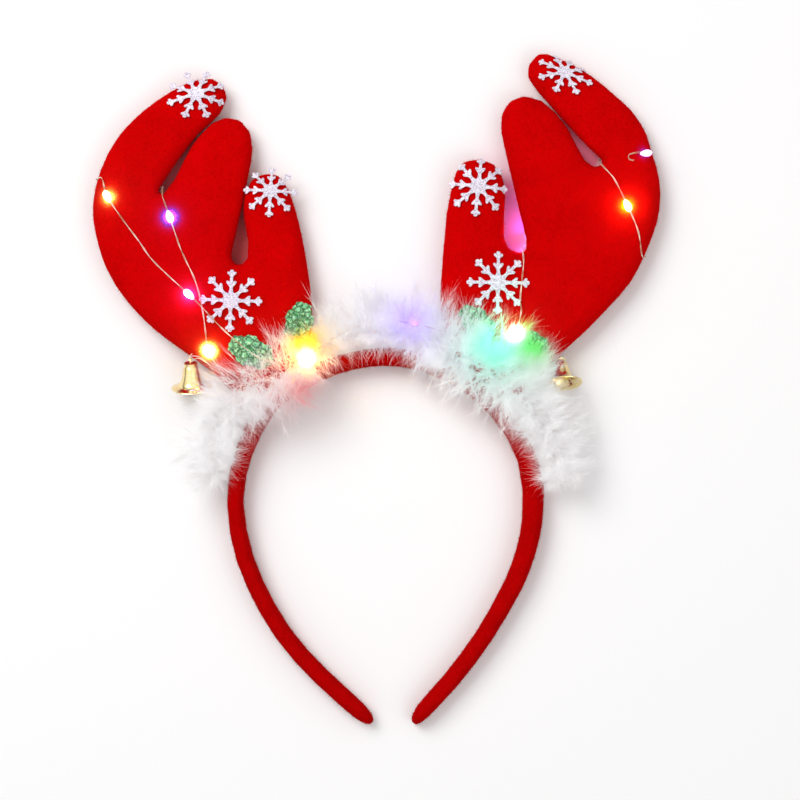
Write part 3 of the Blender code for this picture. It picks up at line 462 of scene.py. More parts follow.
def makeBrass():
    # thin stamped brass, polished and lacquered: a clear warm mirror with faint wear
    material, tree, shader = newMaterial("polished brass", {"Metallic": 1.0, "Coat Weight": 0.3})
    _, handling, colour = addMottle(tree, 2.5, 3.0, [(0.3, "#EED48A"), (0.7, "#FAE8B4")])
    values = {"From Min": 0.3, "From Max": 0.7, "To Min": 0.1, "To Max": 0.22}
    wear = addNode(tree, "ShaderNodeMapRange", values, {"Value": handling.outputs["Fac"]})
    tree.links.new(wear.outputs["Result"], shader.inputs["Roughness"])
    tree.links.new(colour.outputs["Color"], shader.inputs["Base Color"])
    return material


def makeResin(name, body, glow, strength):
    # clear resin over a lit diode: the whole drop glows, whiter than its halo
    values = {"Roughness": 0.15, "Coat Weight": 0.5, "Emission Strength": strength}
    values["Emission Color"] = fromHex(glow)
    return makeMottled(name, values, 3.0, 1.0, [(0.3, body), (0.7, glow)])


napOfAntlers = {"cloud": 14.0, "tuft": 1.1}
napOfBand = {"cloud": 9.0, "tuft": 0.9}
velvet = makeVelvet("polyester velvet", napOfAntlers, "#BA0001", "#CC0002")
bandVelvet = makeVelvet("polyester velvet of the band", napOfBand, "#A20001", "#B60102")
marabou = makeMarabou()
whiteGlitter = makeGlitter("white glitter film", 0.42, "#B0A4B6", "#D6CCDC", "#F4EEFA", 0.45)
# painted shade along the leaves' creases
paintedCreaseShade = {"size": 2.7, "wide": 0.2, "colour": "#24683A"}
greenGlitter = makeGlitter("green glitter film", 0.6, "#3C9A58", "#6CCC88", "#C8F8D0", 0.35, crease=paintedCreaseShade)
brass = makeBrass()
# enamelled copper wire is a pale warm metal under clear enamel; its brown to cream patches are painted
# shade and painted highlight along it
enamel = {"Metallic": 0.1, "Roughness": 0.3, "Coat Weight": 0.5}
copper = makeMottled("enamelled copper", enamel, 5.0, 1.0, [(0.38, "#B88A66"), (0.56, "#FFF2DE")])
# the bells hang on white polyester sewing thread
thread = makeMottled("sewing thread", {"Roughness": 0.7}, 0.5, 2.0, [(0.3, "#E8DCCB"), (0.7, "#FFFBF2")])
print("materials made")


# Camera, over the middle of the picture
picture = {
    "pixels": 800,
    "mmPerPixel": 0.45,
    "middleX": 10.6,
    "middleY": -4.5,
    "level": 8.0,
    "lens": 100.0,
    "sensor": 36.0,
}


def setCamera():
    bpy.ops.object.camera_add()
    camera = bpy.context.object
    camera.name = "overhead camera"
    width = picture["pixels"] * picture["mmPerPixel"]
    height = picture["lens"] / picture["sensor"] * width
    middle = Vector((picture["middleX"], picture["middleY"], picture["level"] + height))
    camera.location = middle * mm
    camera.rotation_euler = (0, 0, 0)
    camera.data.lens = picture["lens"]
    camera.data.sensor_width = picture["sensor"]
    camera.data.clip_end = 10.0
    bpy.context.scene.camera = camera


setCamera()


# Strands: thin three-sided hairs that end in a point, many in one mesh
def makeStrands(name, paths, radii):
    count, steps = paths.shape[:2]
    along = paths[:, -1] - paths[:, 0]
    along /= np.maximum(np.linalg.norm(along, axis=1, keepdims=True), 1e-9)
    helper = np.where(np.abs(along[:, 2:3]) > 0.8, [[1.0, 0.0, 0.0]], [[0.0, 0.0, 1.0]])
    side = np.cross(along, helper)
    side /= np.linalg.norm(side, axis=1, keepdims=True)
    over = np.cross(along, side)
    corners = np.arange(3) * 2 * np.pi / 3
    ring = np.cos(corners)[:, None] * side[:, None] + np.sin(corners)[:, None] * over[:, None]
    tube = paths[:, :-1, None] + ring[:, None] * radii[..., None, None]
    verts = np.concatenate([tube.reshape(count, -1, 3), paths[:, -1:]], axis=1).reshape(-1, 3)
    tip = 3 * (steps - 1)
    faces = [(2, 1, 0)]
    for step in range(steps - 2):
        for corner in range(3):
            a, b = 3 * step + corner, 3 * step + (corner + 1) % 3
            faces += [(a, b, b + 3), (a, b + 3, a + 3)]
    for corner in range(3):
        faces.append((tip - 3 + corner, tip - 3 + (corner + 1) % 3, tip))
    starts = np.arange(count)[:, None, None] * (tip + 1)
    corners = (np.array(faces)[None] + starts).ravel()
    mesh = bpy.data.meshes.new(name)
    mesh.vertices.add(len(verts))
    mesh.vertices.foreach_set("co", verts.ravel())
    mesh.loops.add(len(corners))
    mesh.loops.foreach_set("vertex_index", corners)
    mesh.polygons.add(len(corners) // 3)
    mesh.polygons.foreach_set("loop_start", np.arange(0, len(corners), 3))
    mesh.update(calc_edges=True)
    obj = newObject(name, mesh)
    makeActive(obj)
    bpy.ops.object.shade_smooth()
    return obj


# Padded velvet: the antlers and the band
padding = {
    "voxel": 1.1,
    "shrink": 0.6,
    "pressure": 4.0,
    "most": 0.6,
    "frames": 20,
    "seamDepth": 0.15,
    "seamWidth": 0.3,
}


def inflate(obj, pressure, most, frames):
    # air pressure inside a cloth skin, with each point's movement capped
    before = coordsOf(obj)
    makeActive(obj)
    cloth = obj.modifiers.new("Cloth", "CLOTH")
    cloth.settings.quality = 4
    cloth.settings.use_pressure = True
    cloth.settings.uniform_pressure_force = pressure
    cloth.settings.effector_weights.gravity = 0
    cloth.point_cache.frame_start = 1
    cloth.point_cache.frame_end = frames
    for number in range(1, frames + 1):
        bpy.context.scene.frame_set(number)
    bpy.ops.object.modifier_apply(modifier=cloth.name)
    bpy.context.scene.frame_set(1)
    moved = coordsOf(obj) - before
    length = np.linalg.norm(moved, axis=1, keepdims=True)
    setCoords(obj, before + moved * np.minimum(1, most * mm / np.maximum(length, 1e-9)))


def makePadded(node, material, rim, seam=True):
    # the CAD solid's skin, drawn in a little and blown up again as cloth
    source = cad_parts[node]
    skin = newObject(node + "_skin", source.data.copy())
    mergeDoubles(skin, 0.01 * mm)
    applyModifier(skin, "SUBSURF", subdivision_type="SIMPLE", levels=2, render_levels=2)
    setCoords(skin, coordsOf(skin) - normalsOf(skin) * padding["shrink"] * mm)
    applyModifier(skin, "REMESH", mode="VOXEL", voxel_size=padding["voxel"] * mm)
    inflate(skin, padding["pressure"], padding["most"], padding["frames"])
    applyModifier(skin, "SMOOTH", factor=0.5, iterations=2)
    # the rim, which the steps above drew in, goes back out to its outline
    normals = normalsOf(skin)
    level = np.abs(normals[:, 2:3])
    out = rim * np.sqrt(1 - level)
    if seam:
        # the sewn edge, a shallow groove where the two panels meet
        out -= padding["seamDepth"] * np.clip(1 - level / padding["seamWidth"], 0, 1)
    setCoords(skin, coordsOf(skin) + normals * out * mm)
    floor = coordsOf(skin)
    floor[:, 2] = np.maximum(floor[:, 2], 0.0)
    setCoords(skin, floor)
    makeActive(skin)
    bpy.ops.object.shade_smooth()
    settle(skin, node + "_velvet", material, "velvet", node)
    return skin


pile = {"perAntler": 24000, "onBand": 14000, "long": 0.85, "radius": 0.07, "lean": 0.9}


def makePile(skin, name, count, material, seed):
    # the velvet's longer fibres, which show as a fuzz along the edges
    rng = np.random.default_rng(seed)
    mesh = skin.data
    mesh.calc_loop_triangles()
    corners = np.array([t.vertices[:] for t in mesh.loop_triangles])
    coords, normals = coordsOf(skin), normalsOf(skin)
    a, b, c = (coords[corners[:, k]] for k in range(3))
    area = np.linalg.norm(np.cross(b - a, c - a), axis=1)
    chosen = rng.choice(len(corners), count, p=area / area.sum())
    u, v = rng.random(count), rng.random(count)
    over = u + v > 1
    u[over], v[over] = 1 - u[over], 1 - v[over]
    weights = np.stack([1 - u - v, u, v], axis=1)[:, :, None]
    roots = (coords[corners[chosen]] * weights).sum(axis=1)
    out = (normals[corners[chosen]] * weights).sum(axis=1)
    out /= np.linalg.norm(out, axis=1, keepdims=True)
    way = out + rng.normal(0, 0.45, (count, 3)) * pile["lean"]
    way /= np.linalg.norm(way, axis=1, keepdims=True)
    length = pile["long"] * mm * rng.uniform(0.45, 1.25, (count, 1))
    bend = rng.normal(0, 0.25, (count, 3)) * length
    middle = roots + way * length * 0.5
    tips = roots + way * length + bend
    tips[:, 2] = np.maximum(tips[:, 2], 0.1 * mm)
    middle[:, 2] = np.maximum(middle[:, 2], 0.1 * mm)
    start = roots - out * 0.1 * mm
    start[:, 2] = np.maximum(start[:, 2], 0.1 * mm)
    radii = np.full((count, 1), pile["radius"] * mm)
    fuzz = makeStrands(name, np.stack([start, tips], axis=1), radii)
    return settle(fuzz, name, material, "velvet")


antlerSkins = [
    makePadded("antler_left", velvet, rim=0.95),
    makePadded("antler_right", velvet, rim=0.95),
]
bandSkin = makePadded("velvet_band", bandVelvet, rim=0.3, seam=False)
makePile(antlerSkins[0], "antler_left_pile", pile["perAntler"], velvet, 11)
makePile(antlerSkins[1], "antler_right_pile", pile["perAntler"], velvet, 12)
makePile(bandSkin, "velvet_band_pile", pile["onBand"], bandVelvet, 13)
print("velvet antlers and band made")


# Heights of things laid on the antlers
antlerTree = treeOf(antlerSkins)
topOfAll, underAll, besideAll = 0.08, -0.02, 0.05


def velvetHeight(x, y, side):
    # where a vertical line meets the antlers, from the front or from behind
    start = Vector((x, y, topOfAll if side == "front" else underAll))
    hit, _, _, _ = antlerTree.ray_cast(start, -up if side == "front" else up)
    return hit


def makeHeightOf(node):
    # height of a plate's upper face, from its nearest points in plan
    points = {}
    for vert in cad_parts[node].data.vertices:
        key = (round(vert.co.x, 6), round(vert.co.y, 6))
        points[key] = max(points.get(key, -1.0), vert.co.z)
    nearby = KDTree(len(points))
    for index, (x, y) in enumerate(points):
        nearby.insert((x, y, 0), index)
    nearby.balance()
    heights = list(points.values())

    def heightOf(x, y):
        found = [(heights[index], 1 / (distance + 0.3 * mm)) for _, index, distance in
                 nearby.find_n((x, y, 0), 4)]
        return sum(h * w for h, w in found) / sum(w for _, w in found)

    return heightOf


# Snowflakes: punched card with white glitter
snowflake = {
    "arms": 8,
    "thick": 0.8,
    "hub": 3.1,
    "round": 0.12,
    # one side of an arm: distance out and half width
    "arm": [
        (4.5, 0.62), (6.0, 0.58), (7.2, 1.6), (8.0, 2.2), (8.75, 2.1), (8.6, 1.3), (8.2, 0.62),
        (9.4, 0.54), (10.9, 0.56), (11.6, 1.2), (12.1, 1.95), (12.9, 1.95), (12.95, 1.2), (12.7, 0.7),
        (13.3, 0.85), (13.9, 0.6),
    ],
    "tip": 14.0,
    # over the padding, evened out as far as the card is stiff, and least height past its edge
    "lift": 0.45,
    "stiff": 2.4,
    "least": 1.5,
    # the antlers' underside, which sinks towards the tips
    "under": 9.3,
    "sinks": 0.0235,
    "sinksFrom": 10.0,
    # the heights' grid from the middle to a side, and the steps in which the card is laid along it
    "cell": 0.8,
    "cells": 21,
    "step": 0.7,
}
# seen is the share of its size that shows along way, which is up the picture where none is given
snowflakes = [
    {"node": "snowflake_left_outer", "x": -80.8, "y": 132.9, "turn": 22.5, "seen": 0.84},
    {"node": "snowflake_left_inner", "x": -47.4, "y": 89.2, "turn": -3.0, "seen": 0.93, "size": 0.91},
    {"node": "snowflake_left_palm", "x": -65.0, "y": 40.0, "turn": -2.0, "seen": 1.0},
    {"node": "snowflake_right_outer", "x": 84.6, "y": 142.6, "turn": 20.0, "seen": 0.74,
     "way": 70.0, "size": 0.96, "least": -3.0},
    {"node": "snowflake_right_inner", "x": 45.7, "y": 91.2, "turn": -6.0, "seen": 0.97},
    {"node": "snowflake_right_palm", "x": 54.4, "y": 48.0, "turn": -1.0, "seen": 1.0},
]


def snowflakeOutline():
    arm = [(out, -wide) for out, wide in snowflake["arm"]] + [(snowflake["tip"], 0)]
    arm += [(out, wide) for out, wide in reversed(snowflake["arm"])]
    points = []
    for k in range(snowflake["arms"]):
        turn = Matrix.Rotation(2 * math.pi * k / snowflake["arms"], 2)
        valley = Matrix.Rotation(2 * math.pi * (k + 0.5) / snowflake["arms"], 2)
        points += [turn @ Vector(p) for p in arm]
        points.append(valley @ Vector((snowflake["hub"], 0)))
    # corners are cut once, which rounds the barbs
    rounded = []
    for a, b in zip(points, points[1:] + points[:1]):
        rounded += [a * 0.75 + b * 0.25, a * 0.25 + b * 0.75]
    return rounded


def limpHeight(x, y, least):
    # where the limp card lies: on the padding, and bent down past its edge
    low = (snowflake["under"] + least) * mm - snowflake["sinks"] * (y - snowflake["sinksFrom"] * mm)
    heights = []
    for k in range(9):
        turn = k * math.pi / 4
        out = 0 if k == 8 else snowflake["stiff"] * mm
        hit = velvetHeight(x + out * math.cos(turn), y + out * math.sin(turn), "front")
        heights.append(max(hit.z, low) if hit else low)
    return max(sum(heights) / len(heights), heights[-1]) + snowflake["lift"] * mm


def limpGrid(row):
    # heights of the limp card round a snowflake's middle, in mm
    places = np.arange(-snowflake["cells"], snowflake["cells"] + 1) * snowflake["cell"]
    least = row.get("least", snowflake["least"])
    heights = [
        [limpHeight((row["x"] + x) * mm, (row["y"] + y) * mm, least) for y in places] for x in places
    ]
    return np.array(heights) / mm


def heightIn(grid, x, y):
    most = len(grid) - 1.001
    u = min(max(x / snowflake["cell"] + snowflake["cells"], 0), most)
    v = min(max(y / snowflake["cell"] + snowflake["cells"], 0), most)
    i, j = int(u), int(v)
    near = grid[i, j] * (1 - u + i) + grid[i + 1, j] * (u - i)
    far = grid[i, j + 1] * (1 - u + i) + grid[i + 1, j + 1] * (u - i)
    return near * (1 - v + j) + far * (v - j)


def drape(place, grid):
    # where a point of the flat card comes to lie. Its way from the middle keeps its length
    spot = Vector((0, 0))
    height = heightIn(grid, 0, 0)
    steps = max(round(place.length / snowflake["step"]), 1)
    stride = place / steps
    for _ in range(steps):
        ahead = heightIn(grid, *(spot + stride))
        spot += stride * stride.length / math.hypot(stride.length, ahead - height)
        height = heightIn(grid, *spot)
    return spot, height


def makeSnowflake(row):
    turn = Matrix.Rotation(math.radians(row["turn"]), 2)
    way = Matrix.Rotation(math.radians(row.get("way", 90.0)), 2) @ Vector((1, 0))
    curve = bpy.data.curves.new(row["node"] + "_outline", "CURVE")
    curve.dimensions = "2D"
    curve.fill_mode = "BOTH"
    curve.extrude = (snowflake["thick"] / 2 - snowflake["round"]) * mm
    curve.bevel_depth = snowflake["round"] * mm
    curve.bevel_resolution = 0
    outline = [turn @ place * row.get("size", 1.0) for place in snowflakeOutline()]
    outline = [spot - way * way.dot(spot) * (1 - row["seen"]) for spot in outline]
    addSpline(curve, [spot.to_3d() for spot in outline], closed=True)
    flake = meshOfCurve(row["node"] + "_flake", curve)
    # even triangles instead of long slivers, so that the card bends smoothly
    bpy.ops.object.mode_set(mode="EDIT")
    bpy.ops.mesh.select_all(action="SELECT")
    bpy.ops.mesh.quads_convert_to_tris()
    bpy.ops.mesh.beautify_fill(angle_limit=math.radians(1))
    bpy.ops.object.mode_set(mode="OBJECT")
    coords = coordsOf(flake)
    grid = limpGrid(row)
    for co in coords:
        spot, height = drape(Vector(co[:2]) / mm, grid)
        co[0] = (row["x"] + spot.x) * mm
        co[1] = (row["y"] + spot.y) * mm
        co[2] += (height + snowflake["thick"] / 2) * mm
    setCoords(flake, coords)
    smoothByAngle(flake, 30)
    return settle(flake, row["node"] + "_glitter", whiteGlitter, "glitter_white", row["node"])


for row in snowflakes:
    makeSnowflake(row)
print("snowflakes made")


# Holly leaves: crinkled film with a raised midrib
leaf = {
    "thick": 0.35,
    "crinkle": 1.0,
    "crinkleSize": 2.2,
    "rib": 0.5,
    "ribWidth": 0.09,
    "veins": 0.25,
    "spines": 3.5,
    "spineDepth": 0.16,
    "teeth": 19,
    "toothDepth": 0.1,
    "columns": 56,
    "rows": 34,
}
leaves = [
    {"node": "holly_leaf_left_side", "x": -55.8, "y": 17.0, "turn": 155.0, "long": 22.6, "wide": 15.0},
    {"node": "holly_leaf_left_upper", "x": -34.6, "y": 30.0, "turn": 75.0, "long": 20.0, "wide": 14.0},
    {"node": "holly_leaf_right_upper", "x": 45.2, "y": 30.2, "turn": 138.0, "long": 20.0, "wide": 13.0},
    {"node": "holly_leaf_right_side", "x": 67.6, "y": 20.6, "turn": -6.0, "long": 19.0, "wide": 13.0},
]


def makeLeaf(row):
    bpy.ops.object.select_all(action="DESELECT")
    bpy.ops.mesh.primitive_grid_add(x_subdivisions=leaf["columns"], y_subdivisions=leaf["rows"], size=2)
    blade = bpy.context.object
    turn = Matrix.Rotation(math.radians(row["turn"]), 2)
    heightOf = makeHeightOf(row["node"])
    coords = coordsOf(blade)
    for co in coords:
        u, v = co[0], co[1]
        # the square grid is pressed into a disc, then into the leaf's outline
        across, along = v * math.sqrt(1 - u * u / 2), u * math.sqrt(1 - v * v / 2)
        angle, reach = math.atan2(across, along), math.hypot(across, along)
        bite = leaf["spineDepth"] * (1 + math.cos(2 * leaf["spines"] * angle)) / 2
        bite += leaf["toothDepth"] * abs(2 * (leaf["teeth"] * angle / math.tau % 1) - 1)
        x = along * row["long"] / 2 * (1 - 0.4 * bite * reach)
        y = across * row["wide"] / 2 * (1 - bite * reach)
        place = turn @ Vector((x, y)) + Vector((row["x"], row["y"]))
        grain = Vector((place.x, place.y, row["turn"])) / leaf["crinkleSize"]
        crease = abs(noise.noise(grain)) + 0.5 * abs(noise.noise(grain * 2.1))
        rib = leaf["rib"] * math.exp(-((across / leaf["ribWidth"]) ** 2))
        veins = leaf["veins"] * max(0.0, math.cos(9 * (along - 0.6 * abs(across)))) ** 6
        lift = leaf["crinkle"] * (crease * 1.6 - 0.4) + rib + veins - 0.5 * reach**4
        co[0], co[1] = place.x * mm, place.y * mm
        co[2] = heightOf(co[0], co[1]) + lift * mm
    setCoords(blade, coords)
    applyModifier(blade, "SOLIDIFY", thickness=leaf["thick"] * mm, offset=-1.0)
    smoothByAngle(blade, 25)
    return settle(blade, row["node"] + "_glitter", greenGlitter, "glitter_green", row["node"])


bladeSkins = [makeLeaf(row) for row in leaves]
print("holly leaves made")


# Bells: thin stamped brass on a thread
bell = {
    # half of the section: outside from the crown down to the lip, then back up inside
    "section": [
        (0.0, 11.5), (1.5, 11.55), (2.3, 11.75), (2.75, 12.1), (3.0, 12.0), (3.05, 11.6), (2.8, 11.1),
        (2.85, 10.75), (3.15, 10.4), (3.55, 8.6), (3.95, 6.6), (4.4, 4.6), (4.95, 3.0), (5.8, 1.9),
        (7.2, 1.15), (8.5, 0.75), (9.0, 0.55), (9.15, 0.3), (9.0, 0.05), (8.6, 0.0), (7.0, 0.7),
        (5.4, 1.5), (4.5, 2.9), (3.95, 4.6), (3.5, 6.6), (3.1, 8.6), (2.6, 10.2), (0.0, 10.7),
    ],
    "turns": 56,
    "ring": 1.25,
    "wire": 0.36,
    "ringHigh": 12.9,
}
bells = [
    {"node": "bell_left", "x": -83.0, "y": 0.8, "z": 8.6, "lean": 20.0, "turn": 91.0},
    {"node": "bell_right", "x": 83.6, "y": 2.6, "z": 8.6, "lean": -21.0, "turn": 95.0},
]


def bellPlace(row):
    crownUp = Matrix.Rotation(math.radians(row["lean"] - 90), 4, "X")
    heading = Matrix.Rotation(math.radians(row["turn"] - 90), 4, "Z")
    return Matrix.Translation(Vector((row["x"], row["y"], row["z"])) * mm) @ heading @ crownUp


def makeBell(row):
    deselectAll()
    section = bpy.data.meshes.new(row["node"] + "_section")
    points = [(r * mm, 0, high * mm) for r, high in bell["section"]]
    section.from_pydata(points, [(k, k + 1) for k in range(len(points) - 1)], [])
    body = newObject(row["node"] + "_body", section)
    applyModifier(
        body, "SCREW", steps=bell["turns"], render_steps=bell["turns"], use_merge_vertices=True,
        merge_threshold=0.01 * mm,
    )
    mergeDoubles(body, 0.01 * mm)
    deselectAll()
    bpy.ops.mesh.primitive_torus_add(
        major_radius=bell["ring"] * mm, minor_radius=bell["wire"] * mm, major_segments=28,
        minor_segments=10, location=(0, 0, bell["ringHigh"] * mm), rotation=(0, math.pi / 2, 0),
    )
    ring = bpy.context.object
    body.select_set(True)
    bpy.context.view_layer.objects.active = body
    bpy.ops.object.join()
    body.matrix_world = bellPlace(row)
    applyPlace(body)
    smoothByAngle(body, 50)
    return settle(body, row["node"] + "_brass", brass, "gold", row["node"])


bellBodies = [makeBell(row) for row in bells]


def makeTube(name, routes, radius, material, slot, nodes=(), perSpan=6, sides=1):
    # round wires or threads along given lines
    curve = bpy.data.curves.new(name, "CURVE")
    curve.dimensions = "3D"
    curve.bevel_depth = radius * mm
    curve.bevel_resolution = sides
    curve.use_fill_caps = True
    for route in routes:
        addSpline(curve, smoothLine(route, perSpan))
    tube = meshOfCurve(name, curve)
    bpy.ops.object.shade_smooth()
    return settle(tube, name, material, slot, *nodes)


def makeBellThread(row):
    # a loop of thread through the eyelet, with its ends drawn into the down
    place = bellPlace(row)
    eye = place @ Vector((0, 0, (bell["ringHigh"] + 0.7) * mm)) / mm
    inward = 1 if row["x"] < 0 else -1
    loose = [
        eye + Vector((-1.2, -0.4, 1.3)),
        eye + Vector((0, 0.9, 0.9)),
        eye + Vector((inward * 1.6, 1.6, 2.0)),
        eye + Vector((inward * 5.0, 0.8, 4.6)),
        eye + Vector((inward * 9.5, -2.8, 6.5)),
    ]
    tie = [
        eye + Vector((inward * 1.0, 2.6, 2.6)),
        eye + Vector((-inward * 0.3, 1.2, 1.8)),
        eye + Vector((-inward * 0.6, -0.2, 0.9)),
        eye + Vector((inward * 0.8, -0.9, 1.4)),
        eye + Vector((inward * 3.6, 0.6, 3.6)),
        eye + Vector((inward * 7.6, -1.4, 6.2)),
    ]
    return makeTube(row["node"] + "_thread", [loose, tie], 0.16, thread, "feather")


for row in bells:
    makeBellThread(row)
print("bells made")


# Light string: twin enamelled wires with lit resin drops
overTrim = 2.2
onWire = 2.0


def front(x, y, high=0.7):
    return {"x": x, "y": y, "place": "front", "high": high}


def back(x, y, high=0.7):
    return {"x": x, "y": y, "place": "back", "high": high}


def edge(x, y, high=0.7):
    return {"x": x, "y": y, "place": "edge", "high": high}


def air(x, y, high):
    return {"x": x, "y": y, "place": "air", "high": high}


wire = {
    "radius": 0.13,
    "apart": 0.21,
    "twist": 17.0,
    # round an antler's side: its middle's height, half its thickness, and shares of that half
    "edgeMiddle": 7.0,
    "edgeHalf": 5.5,
    "edgeLevels": (0.8, 0.4, 0.0, -0.4, -0.8),
}
# the string's way over both antlers. High is over the velvet, or over the table for air
wireRoute = [
    front(-71.2, 11.0, 1.4), front(-75.0, 17.2, onWire), front(-76.2, 25.5, 1.2),
    front(-76.9, 32.0, overTrim), front(-77.9, 37.6, overTrim), front(-79.3, 44.0, overTrim),
    front(-81.8, 51.0), front(-85.2, 58.0), front(-88.2, 65.0), front(-92.3, 77.4, onWire),
    front(-94.9, 84.2, 1.0), front(-95.9, 87.0, 1.0), air(-96.1, 90.6, 10.4), air(-96.1, 91.5, 7.0),
    air(-96.6, 91.7, 3.4), back(-101.5, 91.6, 0.9), back(-106.0, 92.2, 0.9), back(-113.0, 93.3),
    edge(-125.6, 94.8),
    front(-120.2, 86.4, onWire), front(-112.8, 75.4), front(-106.2, 66.6), front(-101.2, 59.4),
    front(-95.0, 53.0), front(-83.6, 42.6, onWire), front(-77.6, 36.8, 2.3),
    front(-73.6, 32.4, overTrim), front(-69.6, 28.2, 1.6), front(-64.6, 23.6, 2.2),
    front(-58.5, 18.6, 2.4), front(-52.5, 14.6, 2.8), air(-46.5, 12.6, 18.6),
    air(-40.0, 12.2, 20.8), air(-31.6, 14.2, 22.4), air(-21.5, 21.4, 18.6), air(-10.0, 28.0, 14.6),
    air(3.0, 31.0, 12.8), air(17.0, 29.6, 13.0), air(28.5, 26.4, 17.0), air(39.0, 22.8, 19.4),
    air(51.0, 22.8, 19.8), air(61.4, 26.6, 18.6), front(64.6, 34.6, 2.0), front(64.2, 40.0, overTrim),
    front(64.7, 46.0, overTrim), front(65.3, 52.0, overTrim), front(65.9, 57.6, 1.1),
    air(65.5, 62.2, 12.0), air(65.2, 64.2, 6.6), air(67.8, 65.8, 2.8), air(68.8, 70.2, 1.8),
    back(69.4, 77.4, 1.0), back(73.4, 80.6), back(83.0, 78.8), back(96.0, 71.6), back(107.0, 64.6),
    edge(120.2, 60.2), front(117.2, 70.8), front(112.2, 82.4, onWire), front(107.0, 93.6),
    front(104.5, 97.0, 1.0), front(102.0, 99.9, 1.0), air(100.0, 102.6, 9.6), air(99.9, 103.2, 6.6),
    air(101.2, 104.0, 3.0),
    back(106.0, 105.0, 0.6), back(114.5, 106.2, 0.6), edge(124.0, 106.6), front(120.6, 106.7, 2.7),
    front(113.6, 105.6, 1.2), front(113.2, 103.4), front(115.4, 102.8),
]


def wirePoints(rows):
    points = []
    for index, row in enumerate(rows):
        x, y, high = row["x"] * mm, row["y"] * mm, row["high"] * mm
        if row["place"] == "air":
            points.append(Vector((x, y, high)) / mm)
            continue
        if row["place"] == "edge":
            # round the antler's side, from the face it comes from to the other
            before, after = rows[index - 1], rows[index + 1]
            out = Vector((row["x"] - (before["x"] + after["x"]) / 2, 0, 0)).normalized()
            sign = 1 if before["place"] == "front" else -1
            for level in wire["edgeLevels"]:
                z = (wire["edgeMiddle"] + sign * level * wire["edgeHalf"]) * mm
                hit, _, _, _ = antlerTree.ray_cast(Vector((x, y, z)) + out * besideAll, -out)
                if hit:
                    points.append((hit + out * high) / mm)
            continue
        hit = velvetHeight(x, y, row["place"])
        if hit:
            hit.z += high if row["place"] == "front" else -high
            points.append(hit / mm)
    return points


wireLine = smoothLine(wirePoints(wireRoute), 5)


def twinLines(line):
    # two wires side by side that turn slowly round each other
    twins = [[], []]
    run = 0.0
    for i, place in enumerate(line):
        ahead = (line[min(i + 1, len(line) - 1)] - line[max(i - 1, 0)]).normalized()
        run += (place - line[max(i - 1, 0)]).length
        side = ahead.cross(up)
        side = side.normalized() if side.length > 0.1 else Vector((1, 0, 0))
        over = side.cross(ahead)
        angle = 2 * math.pi * run / wire["twist"]
        away = (side * math.cos(angle) + over * math.sin(angle)) * wire["apart"]
        twins[0].append(place + away)
        twins[1].append(place - away)
    return twins


makeTube("light_wire_twin", twinLines(wireLine), wire["radius"], copper, "wire", ["light_wire"], 1)


drop = {"radius": 1.55, "half": 2.9, "around": 20, "along": 14, "lightRadius": 0.9, "over": 2.9}


def makeDrop(row):
    low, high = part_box(row["node"])
    middle = (low + high) / 2 + Vector(row.get("aside", (0, 0, 0))) * mm
    colour = row["node"].split("_")[-1]
    look = lit[colour]
    resin = makeResin(f"lit resin {row['node'][6:]}", look["body"], look["core"], row["strength"])
    nearest = min(range(len(wireLine)), key=lambda k: (wireLine[k] * mm - middle).length)
    last = len(wireLine) - 1
    ahead = wireLine[min(nearest + 2, last)] - wireLine[max(nearest - 2, 0)]
    deselectAll()
    bpy.ops.mesh.primitive_uv_sphere_add(
        segments=drop["around"], ring_count=drop["along"], radius=drop["radius"] * mm
    )
    body = bpy.context.object
    coords = coordsOf(body)
    share = coords[:, 2] / (drop["radius"] * mm)
    # a drop of resin: drawn out along the wire and thinner to one end
    coords[:, 2] = share * drop["half"] * mm
    coords[:, :2] *= (1 - 0.22 * share - 0.1 * share**2)[:, None]
    setCoords(body, coords)
    turn = ahead.to_track_quat("Z", "Y").to_matrix().to_4x4()
    body.matrix_world = Matrix.Translation(middle) @ turn
    applyPlace(body)
    bpy.ops.object.shade_smooth()
    settle(body, row["node"] + "_drop", resin, "bead_" + colour, row["node"])
    bpy.ops.object.light_add(type="POINT")
    lamp = bpy.context.object
    lamp.name = row["node"] + "_lamp"
    lamp.data.energy = row["watts"]
    lamp.data.color = fromHex(row.get("light", look["light"]))[:3]
    lamp.data.shadow_soft_size = drop["lightRadius"] * mm
    lamp.location = middle + up * drop["over"] * mm


for row in diodes:
    makeDrop(row)
print("light string made")


